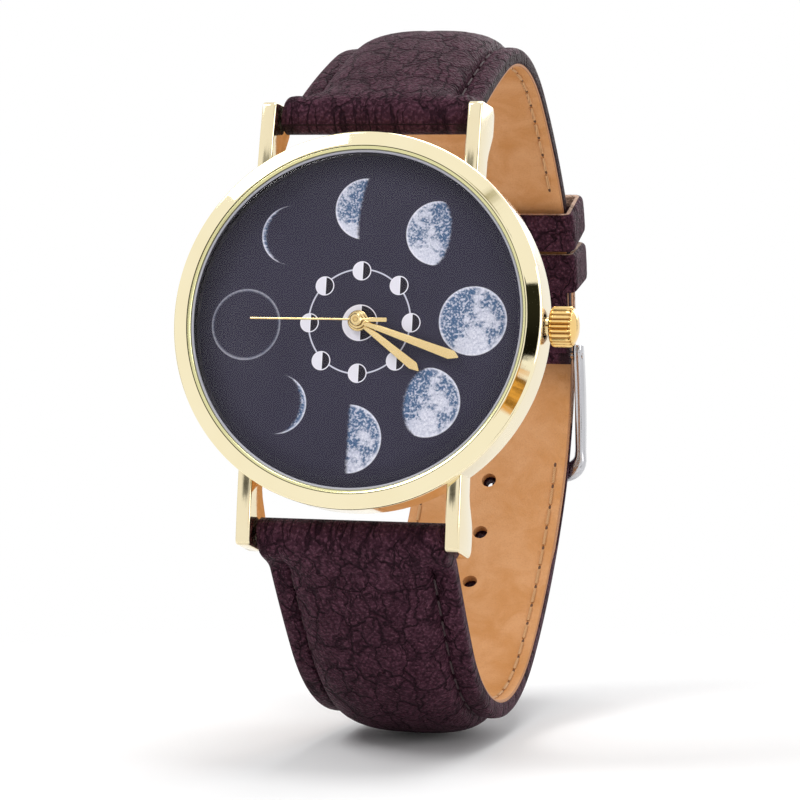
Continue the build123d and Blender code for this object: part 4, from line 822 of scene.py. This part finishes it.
def tail_change(length, finish):
    past = length - (finish - TAIL_ROUND)
    return math.sqrt(max(TAIL_ROUND**2 - past**2, 0.0)) - TAIL_ROUND if past > 0 else 0.0


# A skin along the strap: measure(length, kind, value) gives across, height and the cut edge's mask
def strap_skin(name, bends, section, stations, measure):
    def look_up(share_round, share_along):
        length = stations[round(share_along * (len(stations) - 1))]
        return length, *measure(length, *section[round(share_round * len(section)) % len(section)])

    def place(share_round, share_along):
        length, across, height, _ = look_up(share_round, share_along)
        spot, _, _ = along(bends, length, height)
        return Vector((across, spot.x, spot.y))

    def lie(share_round, share_along):
        length, across, _, cut = look_up(share_round, share_along)
        return Vector((across, length, cut))

    return skin(name, len(section), len(stations) - 1, place, lie)


EDGE_STEPS = [0.0, 0.03, 0.12, 0.26, 0.45, 0.75, 1.1, 1.45, 1.75, 1.95]
EDGE_STEPS += [2.1, 2.2, 2.3, 2.4, 2.52, 2.68, 2.9, 3.2]
EDGE_BAND = EDGE_STEPS[-1]
MIDDLE_STEPS = 24
WALL_STEPS = (0.25, 0.5, 0.8, 1.0)
UNDER_STEPS = 8
STATION_STEP = 0.42
GROOVE = 2.3
GROOVE_WIDTH = 0.22
GROOVE_DEPTH = 0.42
WELT = 0.92
EDGE_ROUND = 0.45
LUG_RISE = 1.85
PAD_RISE = 1.98
SEAM_FACE = -0.02
WALL_FOOT = -0.72
THINNEST = 0.006


def padding_share(length, padding):
    return 1 - eased(length, padding - 7.5, padding + 1.0)


# Height of the leather's face over its seam, at a distance from its edge
def face_height(length, edge, half, padding, groove_end):
    welt = WELT + 0.10 * math.sin(math.pi * min(max((edge - 0.3) / 1.6, 0.0), 1.0))
    edge_rise = LUG_RISE * (1 - eased(length, 0.2, 4.4))
    welt += edge_rise
    if edge < EDGE_ROUND:
        drop = 1 - math.sqrt(max(1 - ((EDGE_ROUND - edge) / EDGE_ROUND) ** 2, 0.0))
        welt -= 0.62 * drop
    depth = GROOVE_DEPTH * eased(length, 1.6, 4.2) * (1 - eased(length, groove_end, groove_end + 3))
    welt -= depth * math.exp(-(((edge - GROOVE) / GROOVE_WIDTH) ** 2))
    reach = max(half - edge, 0.0) / (half - GROOVE)
    if reach < 1:
        crown_rise = PAD_RISE * padding_share(length, padding) - edge_rise * 0.9
        welt += max(crown_rise, 0.0) * (1 - reach ** 3.0) ** 0.55
    return welt


# Long soft creases and a slight unevenness in padded leather
def unevenness(length, across, edge, pad):
    spot = Vector((across * 0.16, length * 0.055, 3.7))
    folds = abs(noise.noise(spot * 2.1))
    crease = math.exp(-((folds / 0.055) ** 2))
    swell = noise.noise(Vector((across * 0.30, length * 0.24, 9.1)))
    return (0.035 * swell - 0.07 * crease * pad) * eased(edge, 2.4, 3.6)


def leather_half(name, bends, finish, padding, groove_end, is_short):
    stations = [-ROLL * math.cos(math.radians(90 * step / 10)) for step in range(10)]
    count = int(finish / STATION_STEP)
    stations += [finish * step / count for step in range(count + 1)]
    if is_short:
        stations += [finish + CLASP_ROLL * share for share in quarter(6, 1)]
    else:
        stations = tail_stations(stations, finish)
    section = [("left", edge) for edge in EDGE_STEPS]
    section += [("middle", step / MIDDLE_STEPS) for step in range(1, MIDDLE_STEPS)]
    section += [("right", edge) for edge in reversed(EDGE_STEPS)]
    section += [("right wall", drop) for drop in WALL_STEPS]
    section += [("under", step / UNDER_STEPS) for step in range(1, UNDER_STEPS)]
    section += [("left wall", drop) for drop in reversed(WALL_STEPS)]

    # How thick the roll is at this length
    def bulge(length):
        past = length / ROLL if length < 0 else 0.0
        if is_short and length > finish:
            past = (length - finish) / CLASP_ROLL
        return math.sqrt(max(1 - past**2, THINNEST))

    def measure(length, kind, value):
        half = half_width(bends, max(length, 0.0))
        wall_foot = WALL_FOOT
        low = SEAM_FACE if length > 0.5 else SEAM_FACE - 0.98 * (1 - eased(length, 0.0, 0.5))
        pale_edge = 1.0
        if is_short:
            low -= 1.26 * eased(length, finish - 1.5, finish - 0.9)
        else:
            half += tail_change(length, finish)
            wall_foot += 0.68 * eased(length, 62, 66)
            pale_edge = eased(length, 79, 84)
        squeeze = min(1.0, half / 8.0)
        cut = 0.0
        if kind == "under":
            across = (half - 0.14) * (1 - 2 * value)
            height = low
        elif "wall" in kind:
            top = face_height(length, 0.0, half, padding, groove_end)
            bottom = min(wall_foot, low) if length < 0.5 or is_short else wall_foot
            height = top + (bottom - top) * value
            across = half if value < 0.9 else half - 0.1
            cut = pale_edge
        else:
            if kind == "middle":
                across = (half - EDGE_BAND * squeeze) * (2 * value - 1)
                edge = half - abs(across)
            else:
                edge = value * squeeze
                across = half - edge
            side = -across if kind == "left" else across
            height = face_height(length, edge, half, padding, groove_end)
            height += unevenness(length, side, edge, padding_share(length, padding))
            cut = 0.6 * pale_edge if edge < 0.02 else 0.0
        if "left" in kind:
            across = -across
        heart = ROLL_RISE if length < 0 else -0.2
        return across, heart + (height - heart) * bulge(length), cut

    return strap_skin(name, bends, section, stations, measure)


# A turn that mirrors a piece leaves it inside out, so its faces are turned back
def lay_mesh(piece, turn):
    piece.data.transform(turn)
    if turn.determinant() < 0:
        piece.data.flip_normals()


def cut_through(piece, cutters):
    tool = joined(cutters, "cutter")
    cut = piece.modifiers.new("cut", "BOOLEAN")
    cut.operation = "DIFFERENCE"
    cut.solver = "EXACT"
    cut.object = tool
    apply_all(piece)
    bpy.data.objects.remove(tool)


HOLE_PITCH = 7.2
TONGUE_SLOT = 80.8225
SLOT_RADIUS = 1.15
SLOT_LENGTH = 6.2


# The free holes, round, and the slot in which the tongue stands
def punches(radius):
    tools = []
    for hole_step in (-3, -2, -1, 1, 2, 0):
        tool = cylinder(40, radius if hole_step else SLOT_RADIUS, 8)
        if not hole_step:
            for vertex in tool.data.vertices:
                vertex.co.y += math.copysign(SLOT_LENGTH / 2 - SLOT_RADIUS, vertex.co.y)
        lay_mesh(tool, laid_on(LONG_BENDS, hole_step * HOLE_PITCH + TONGUE_SLOT))
        tools.append(tool)
    return tools


# Side view axes at the buckle's bar: x along the strap's end, y outwards
CLASP_PLACE, CLASP_HEADING, CLASP_OUT = along(SHORT_BENDS, SHORT_END, -0.2)
CLASP_TURN = Matrix(
    (
        (0, 0, 1, 0),
        (CLASP_HEADING.x, CLASP_OUT.x, 0, CLASP_PLACE.x),
        (CLASP_HEADING.y, CLASP_OUT.y, 0, CLASP_PLACE.y),
        (0, 0, 0, 1),
    )
)


# Room for the tongue's eye in the short half's end
def notch():
    tool = cylinder(40, 1.32, 2.2)
    tool.data.transform(CLASP_TURN)
    return [tool]


# A flat strip along the strap, with rounded edges
def strip(name, bends, start, finish, low, high, inset, rounding, rounded_tail=False):
    count = int((finish - start) / 0.6)
    stations = [start + (finish - start) * index / count for index in range(count + 1)]
    if rounded_tail:
        stations = tail_stations(stations, finish)
    edge_points = [(rounding, 0.0), (rounding * 0.3, rounding * 0.3), (0.0, rounding)]
    section = [("top", index / 12) for index in range(13)]
    section += [("right", point) for point in edge_points[1:]]
    section += [("right low", point) for point in reversed(edge_points)]
    section += [("bottom", index / 12) for index in range(1, 12)]
    section += [("left low", point) for point in edge_points]
    section += [("left", point) for point in reversed(edge_points[1:])]

    def measure(length, kind, value):
        half = half_width(bends, length) - inset
        if rounded_tail:
            half += tail_change(length, finish)
        if kind == "top":
            return (half - rounding) * (2 * value - 1), high, 0.0
        if kind == "bottom":
            return -(half - rounding) * (2 * value - 1), low, 0.0
        across = half - value[0] if "right" in kind else value[0] - half
        height = low + value[1] if "low" in kind else high - value[1]
        return across, height, 1.0 if value[1] > rounding * 0.2 else 0.3

    return strap_skin(name, bends, section, stations, measure)


HOLE_IN_LEATHER = 0.5
HOLE_IN_LINING = 0.85
LINING_BACK = -1.0
LINING_FACE = -0.03
upper_leather = leather_half("upper_leather_face", SHORT_BENDS, SHORT_END, *SHORT_SOFT, True)
cut_through(upper_leather, notch())
settle(upper_leather, HEAD, 60, plum_leather, "case", "leather_plum", "upper_leather", "upper_padding")
lower_leather = leather_half("lower_leather_face", LONG_BENDS, LONG_END, *LONG_SOFT, False)
cut_through(lower_leather, punches(HOLE_IN_LEATHER))
settle(lower_leather, HEAD, 60, tail_leather, "case", "leather_plum", "lower_leather", "lower_padding")
lining = (LINING_BACK, LINING_FACE, 0.12, 0.16)
upper_lining = strip("upper_lining_face", SHORT_BENDS, 0.45, SHORT_END - 1.45, *lining)
settle(upper_lining, HEAD, 40, tan_leather, "case", "lining_tan", "upper_lining")
lower_lining = strip("lower_lining_face", LONG_BENDS, 0.45, LONG_END - 0.08, *lining, True)
cut_through(lower_lining, punches(HOLE_IN_LINING))
settle(lower_lining, HEAD, 40, tan_leather, "case", "lining_tan", "lower_lining")
fold_back = strip("folded_back_end", SHORT_BENDS, SHORT_END - 12.0, SHORT_END - 0.3, -1.6, -1.01, 0.1, 0.14)
cut_through(fold_back, notch())
settle(fold_back, HEAD, 40, plum_leather, "case", "leather_plum", "upper_leather")


# Stitches and needle holes, the holes being dark dots of painted shade: one is modelled, and copied along
# both rows of a strap half
def both_rows(model, name, bends, lengths, edge, height_of, smooth, material, stands_for):
    copies = []
    for side in (-1, 1):
        for length in lengths:
            across = side * (half_width(bends, length) - edge)
            one = copied(model, name + "_one")
            lay_mesh(one, laid_on(bends, length, across, height_of(length)))
            copies.append(one)
    bpy.data.objects.remove(model)
    rows = joined(copies, name)
    settle(rows, HEAD, smooth, material, "case", "thread", stands_for)


def thread_stitch():
    stitch = cylinder(8, 0.19, 1.0, (math.radians(90), 0, 0))
    bpy.ops.object.transform_apply(rotation=True)
    soften(stitch, 0.07, 2, 40)
    for vertex in stitch.data.vertices:
        vertex.co.z *= 0.8
        vertex.co.y *= 2.1
        vertex.co.z -= 0.10 * (vertex.co.y / 1.05) ** 2
    return stitch


# A dark dot of painted shade standing for a needle hole
def hole_shade_dot():
    dot = cylinder(12, 0.15, 0.04)
    soften(dot, 0.015, 1, 40)
    for vertex in dot.data.vertices:
        vertex.co.y *= 1.9
    return dot


STITCH_PITCH = 2.85
LINING_EDGE = 1.35
THREAD_RISE = 0.17
UNDER_LINING = -1.02
FIRST_OUTER = 6.05
FIRST_INNER = 3.2


# Rows run in the groove outside and along the lining inside, with dark dots of painted shade for the needle
# holes between its stitches
def sewn(half_name, bends, last, padding, groove_end):
    def in_groove(length):
        return face_height(length, GROOVE, 9.5, padding, groove_end) + THREAD_RISE

    outer, inner = (int((last - first) / STITCH_PITCH) for first in (FIRST_OUTER, FIRST_INNER))
    outer = [FIRST_OUTER + index * STITCH_PITCH for index in range(outer + 1)]
    between = [FIRST_INNER + (index - 0.5) * STITCH_PITCH for index in range(inner + 2)]
    inner = [FIRST_INNER + index * STITCH_PITCH for index in range(inner + 1)]
    for label, model, lengths, edge, height_of, smooth, material in (
        ("_outer_stitches", thread_stitch, outer, GROOVE, in_groove, 50, dark_thread),
        ("_lining_stitches", thread_stitch, inner, LINING_EDGE, lambda _: UNDER_LINING, 50, tan_thread),
        ("_needle_holes", hole_shade_dot, between, LINING_EDGE, lambda _: UNDER_LINING + 0.01, 40, stitch_hole_shade),
    ):
        name = half_name + label
        both_rows(model(), name, bends, lengths, edge, height_of, smooth, material, half_name + "_stitching")


sewn("upper", SHORT_BENDS, 51.0, *SHORT_SOFT)
sewn("lower", LONG_BENDS, 75.0, *LONG_SOFT)

KEEPER_LOW = -1.95
KEEPER_HIGH = 3.45
KEEPER_CORNER = 0.12
KEEPER_HALF = 2.3


# Keepers: flat loops round both strap halves, with pale cut edges
def keeper(name, length, body, node_name):
    spot, heading, out = along(SHORT_BENDS, length)
    centre = (KEEPER_LOW + KEEPER_HIGH) / 2
    right = half_width(SHORT_BENDS, length) + 0.35 - KEEPER_CORNER
    top = (KEEPER_HIGH - KEEPER_LOW) / 2 - KEEPER_CORNER
    # Each run turns a corner and then goes straight to the next one, in so many steps
    runs = ((right, top, 0, 16), (-right, top, 90, 6), (-right, -top, 180, 16), (right, -top, 270, 6))
    ring = []
    for index, (across, up, first, count) in enumerate(runs):
        turns = [math.radians(first + 90 * step / 6) for step in range(7)]
        corner = arc((across, up), KEEPER_CORNER, first, first + 90, 6)
        ring += [(x, y, angle) for (x, y), angle in zip(corner, turns)]
        x, y = corner[-1]
        next_x, next_y = arc(runs[(index + 1) % 4][:2], KEEPER_CORNER, first + 90, first + 90, 1)[0]
        for step in range(1, count):
            share = step / count
            ring.append((x + (next_x - x) * share, y + (next_y - y) * share, turns[-1]))
    wide = KEEPER_HALF
    side = [(0.0, wide - 0.12), (0.05, wide - 0.03), (0.12, wide), (0.40, wide), (0.58, wide - 0.04)]
    side += [(0.74, wide - 0.16), (0.86, wide - 0.38), (0.92, wide - 0.8)]
    other_side = [(grow, -shift) for grow, shift in reversed(side)]
    section = other_side[-1:] + [(0.0, 0.0)] + side + [(0.94, 0.0)] + other_side[:-1]

    def measure(share_round, share_along):
        grow, shift = section[round(share_round * len(section)) % len(section)]
        across, up, angle = ring[round(share_along * len(ring)) % len(ring)]
        return across + grow * math.cos(angle), centre + up + grow * math.sin(angle), grow, shift

    def place(share_round, share_along):
        across, up, _, shift = measure(share_round, share_along)
        flat = spot + out * up + heading * shift
        return Vector((across, flat.x, flat.y))

    def lie(share_round, share_along):
        across, up, grow, shift = measure(share_round, share_along)
        cut = 1.0 if abs(shift) > wide - 0.02 or (grow < 0.1 and abs(shift) > wide - 0.2) else 0.0
        return Vector((across + up, shift + length, cut))

    loop = skin(name, len(section), len(ring), place, lie, loop=True)
    settle(loop, HEAD, 45, tail_leather, body, "leather_plum", node_name)


keeper("fixed_keeper_loop", 61.3105, "case", "fixed_keeper")
keeper("sliding_keeper_loop", 56.0105, "keeper", "sliding_keeper")


# Buckle: a bowed frame swept from one arm over the far bar to the other arm. Ahead is the way
# from the hinge to the far bar, which lies on the long half.
UNDER_BAR, _, _ = along(LONG_BENDS, 89.6222 - 12.9, 0.9)
FAR_LOW = (UNDER_BAR - CLASP_PLACE).dot(CLASP_OUT) + 0.35
FAR_HIGH = FAR_LOW + 1.4
ARM_MIDDLE = half_width(SHORT_BENDS, SHORT_END) + 0.3 + 0.6
ARM_START = -1.2
FAR_AHEAD = 14.0
BUCKLE_CORNER = 2.0
SQUARENESS = 3.2

bend = FAR_AHEAD - BUCKLE_CORNER
route = [(ARM_START, -ARM_MIDDLE)]
route += [(ARM_START + (bend - ARM_START) * step / 20, -ARM_MIDDLE) for step in range(1, 21)]
for step in range(1, 9):
    angle = math.radians(90 * step / 8)
    past = BUCKLE_CORNER - BUCKLE_CORNER * math.cos(angle)
    route.append((bend + BUCKLE_CORNER * math.sin(angle), -ARM_MIDDLE + past))
arm_and_corner = list(route)
route += [(FAR_AHEAD, (-ARM_MIDDLE + BUCKLE_CORNER) * (1 - 2 * step / 20)) for step in range(1, 20)]
route += [(ahead, -across) for ahead, across in reversed(arm_and_corner)]


def buckle_place(share_round, share_along):
    index = round(share_along * (len(route) - 1))
    ahead, across = route[index]
    before = Vector(route[max(index - 1, 0)])
    after = Vector(route[min(index + 1, len(route) - 1)])
    heading = (after - before).normalized()
    outward = Vector((heading.y, -heading.x))
    share = (ahead + 0.9) / 15.9
    upper = 1.0 + 4.0 * 1.25 * share * (1 - share) + (FAR_HIGH - 1.0) * share
    lower = -1.0 + 4.0 * 0.75 * share * (1 - share) + (FAR_LOW + 1.0) * share
    middle = (upper + lower) / 2
    if ahead < -0.6:
        pinch = 1 - 0.35 * (abs(ahead + 0.6) / 0.6)
        upper = middle + (upper - middle) * pinch
        lower = middle + (lower - middle) * pinch
    by_bar = eased(ahead, 11.5, 13.8)
    wide = 0.6 + 0.5 * by_bar
    upper += (FAR_HIGH - upper) * by_bar
    lower += (FAR_LOW - lower) * by_bar
    angle = math.tau * share_round
    cosine, sine = math.cos(angle), math.sin(angle)
    square = (abs(cosine) ** SQUARENESS + abs(sine) ** SQUARENESS) ** (-1 / SQUARENESS)
    flat = Vector((ahead, across)) + outward * (wide * cosine * square)
    height = (upper + lower) / 2 + (upper - lower) / 2 * sine * square
    return Vector((flat.x, height, flat.y))


buckle_bow = skin("buckle_frame_bow", 28, len(route) - 1, buckle_place)
soften(buckle_bow, 0.12, 3, 50)
settle(buckle_bow, HEAD @ CLASP_TURN, 40, bright_steel, "buckle", "silver", "buckle_frame")

# The tongue's eye turns on the bar, and its tip rests on the frame's far bar
TONGUE_REST = FAR_HIGH + 0.05 + 0.4
TONGUE_HALF = 0.78
under_tip = [(16.2, -0.4), (14.6, -0.4), (12.6, -0.42), (11.3, -0.62)]
over_tip = [(11.0, 0.22), (12.4, 0.38), (14.6, 0.4), (16.1, 0.36), (16.45, 0.1), (16.45, -0.2)]
tongue_outline = [(ahead, TONGUE_REST + rise) for ahead, rise in under_tip]
tongue_outline += [(9.6, (TONGUE_REST - 0.5) * 0.62), (7.6, 0.0), (6.2, -0.36), (3.0, -0.4), (0.9, -0.4)]
tongue_outline += arc((0, 0), 1.0, -24, -336, 22)
tongue_outline += [(0.9, 0.4), (3.0, 0.4), (6.2, 0.42), (7.4, 0.62), (9.3, (TONGUE_REST + 0.35) * 0.62)]
tongue_outline += [(ahead, TONGUE_REST + rise) for ahead, rise in over_tip]
tongue = plate("buckle_pin", tongue_outline, -TONGUE_HALF, TONGUE_HALF)
soften(tongue, 0.22, 3, 35)
settle(tongue, HEAD @ CLASP_TURN, 40, bright_steel, "tongue", "silver", "buckle_tongue")


# Parts of the source that show as they are, by finish
FINISHES = (
    (case_gold, "crown_tube"),
    (bright_steel, "buckle_bar"),
    (rim_dark, "dial_ring"),
    (seal_black, "back_gasket crown_gasket"),
    (plate_grey, "main_plate"),
    (board_green, "circuit_board"),
    (coil_copper, "coil"),
    (ring_white, "movement_ring intermediate_wheel third_wheel"),
    (gear_brass, "train_bridge second_wheel centre_wheel minute_wheel setting_wheel hour_wheel"),
    (plain_steel, "upper_spring_bar lower_spring_bar upper_right_plunger upper_left_plunger"),
    (plain_steel, "lower_right_plunger lower_left_plunger spring_bar_springs stem clutch_wheel"),
    (plain_steel, "battery battery_clamp quartz_can coil_core stator rotor movement_screws"),
)
for finish, names in FINISHES:
    for name in names.split():
        shown = bpy.data.objects[name]
        shown.data.materials.clear()
        shown.data.materials.append(finish)


# Floor: pale, and clear away from the watch wherever it is seen directly
floor_paint = Paint("pale floor")
pale = floor_paint.mix(floor_paint.clouds(floor_paint.scaled(floor_paint.place, 6.0), 1.0, 2.0),
                       (0.95, 0.95, 0.95), (0.9405, 0.9405, 0.95))
near = floor_paint.ramp(floor_paint.length(floor_paint.place), 0.025, 0.10, 1.0, 0.0)
rays = floor_paint.node("LightPath")
seen = floor_paint.larger(rays["Is Camera Ray"], rays["Is Glossy Ray"])
seen = floor_paint.larger(seen, rays["Is Transmission Ray"])
floor_paint.finished(pale, 0.9, {"Alpha": floor_paint.larger(near, floor_paint.minus(1.0, seen))})
deselect()
bpy.ops.mesh.primitive_circle_add(vertices=128, radius=1.2, fill_type="NGON", location=(0, 0, -0.0004))
floor = bpy.context.object
floor.name = "studio_floor"
floor.data.materials.append(floor_paint.material)

# Light: white where it is seen, dimmer as a light on the watch
DIM_SKY = 0.42
world = bpy.data.worlds.new("studio")
world.use_nodes = True
bpy.context.scene.world = world
sky = Graph(world.node_tree)
rays = sky.node("LightPath")
seen = sky.larger(rays["Is Camera Ray"], rays["Is Transmission Ray"])
seen = sky.larger(seen, rays["Is Glossy Ray"])
background = sky.tree.nodes["Background"]
sky.feed(background, {"Strength": sky.larger(seen, DIM_SKY), "Color": (1.0, 1.0, 1.0, 1)})

MIDDLE = (0.0, 0.0, 0.04)


def facing_middle(place, axis):
    return (Vector(MIDDLE) - Vector(place)).to_track_quat(axis, "Y").to_euler()


def lamp(name, place, size, power):
    light = bpy.data.lights.new(name, "AREA")
    light.shape = "RECTANGLE"
    light.size, light.size_y = size
    light.energy = power
    holder = bpy.data.objects.new(name, light)
    bpy.context.scene.collection.objects.link(holder)
    holder.location = place
    holder.rotation_euler = facing_middle(place, "-Z")


lamp("key_box", (-0.34, -0.26, 0.50), (0.30, 0.26), 1.7)
lamp("fill_box", (0.46, -0.20, 0.18), (0.24, 0.30), 0.6)
lamp("top_box", (0.06, 0.02, 0.60), (0.34, 0.26), 1.3)
lamp("back_box", (0.10, 0.45, 0.25), (0.36, 0.30), 0.8)


# Glowing cards outside the view, seen only in reflections and with soft ragged edges, give polished metal
# painted reflections to mirror
def card(name, place, size, colour, strength, fade=0.2, mottle=0.5):
    paint = Paint(name + "_paint")
    spot = paint.place
    drift = paint.ramp(paint.clouds(spot, mottle, 2.0), 0.45, 0.6)
    faint = tuple(channel * 0.35 for channel in colour)
    soft = 1.0
    ragged = paint.clouds(spot, 5.0)
    for reach in paint.split(spot)[:2]:
        reach = paint.times_plus(ragged, 0.36, paint.maths("ABSOLUTE", reach))
        soft = paint.times(soft, paint.ramp(reach, 0.6, 0.6 - fade))
    glow = {"Emission Color": paint.mix(drift, colour, faint), "Emission Strength": strength}
    paint.finished((0.0, 0.0, 0.0, 1), 1.0, {**glow, "Alpha": soft, SPECULAR: 0.0})
    deselect()
    bpy.ops.mesh.primitive_plane_add(size=1, location=place)
    sheet = bpy.context.object
    sheet.name = name
    sheet.scale = (size[0], size[1], 1)
    sheet.rotation_euler = facing_middle(place, "Z")
    sheet.data.materials.append(paint.material)
    sheet.visible_camera = False
    sheet.visible_shadow = False
    sheet.visible_diffuse = False
    sheet.visible_transmission = False


card("grey_card_front", (-0.135, -0.483, 0.188), (0.20, 0.20), (0.50, 0.50, 0.47), 0.6)
card("dark_card_front", (0.150, -0.467, 0.198), (0.16, 0.165), (0.02, 0.02, 0.012), 1.0, 0.06)
card("amber_card_front", (0.135, -0.505, 0.090), (0.12, 0.12), (0.80, 0.40, 0.08), 1.0, 0.1, 7.0)
card("olive_card_top", (0.05, -0.395, 0.374), (0.15, 0.10), (0.55, 0.52, 0.36), 0.8, 0.25)
card("dark_fleck_top", (0.10, -0.422, 0.327), (0.05, 0.012), (0.04, 0.04, 0.02), 1.0, 0.1)
card("dark_card_left", (-0.50, -0.06, 0.06), (0.05, 0.30), (0.08, 0.07, 0.04), 1.0)
card("dark_card_behind", (0.30, 0.40, 0.10), (0.05, 0.30), (0.08, 0.07, 0.04), 1.0)
card("dark_card_low", (0.30, -0.42, -0.10), (0.30, 0.05), (0.10, 0.07, 0.03), 1.0)

camera_data = bpy.data.cameras.new("camera")
camera_data.sensor_width = 36.0
camera_data.lens = 135.0
camera_data.clip_start = 0.01
camera = bpy.data.objects.new("camera", camera_data)
bpy.context.scene.collection.objects.link(camera)
bpy.context.scene.camera = camera
# Rows: the camera's right, down and forward in the head's own axes. The middle of the bezel's top
# lies at MIDDLE_FROM_CAMERA along them.
SIGHT = Matrix(((0.96347, 0.05586, -0.26192), (0.02087, -0.99069, -0.13453), (-0.26700, 0.12415, -0.95567)))
MIDDLE_FROM_CAMERA = Vector((-4.603, -8.107, 296.975))
BEZEL_TOP = 6.8
stand_point = -(SIGHT.transposed() @ MIDDLE_FROM_CAMERA) + Vector((0, 0, BEZEL_TOP))
turn_in_head = Matrix((SIGHT[0], -SIGHT[1], -SIGHT[2])).transposed().to_4x4()
camera.matrix_world = Matrix.Translation(HEAD @ stand_point) @ HEAD_TURN @ turn_in_head

bpy.context.scene.view_settings.view_transform = "Standard"
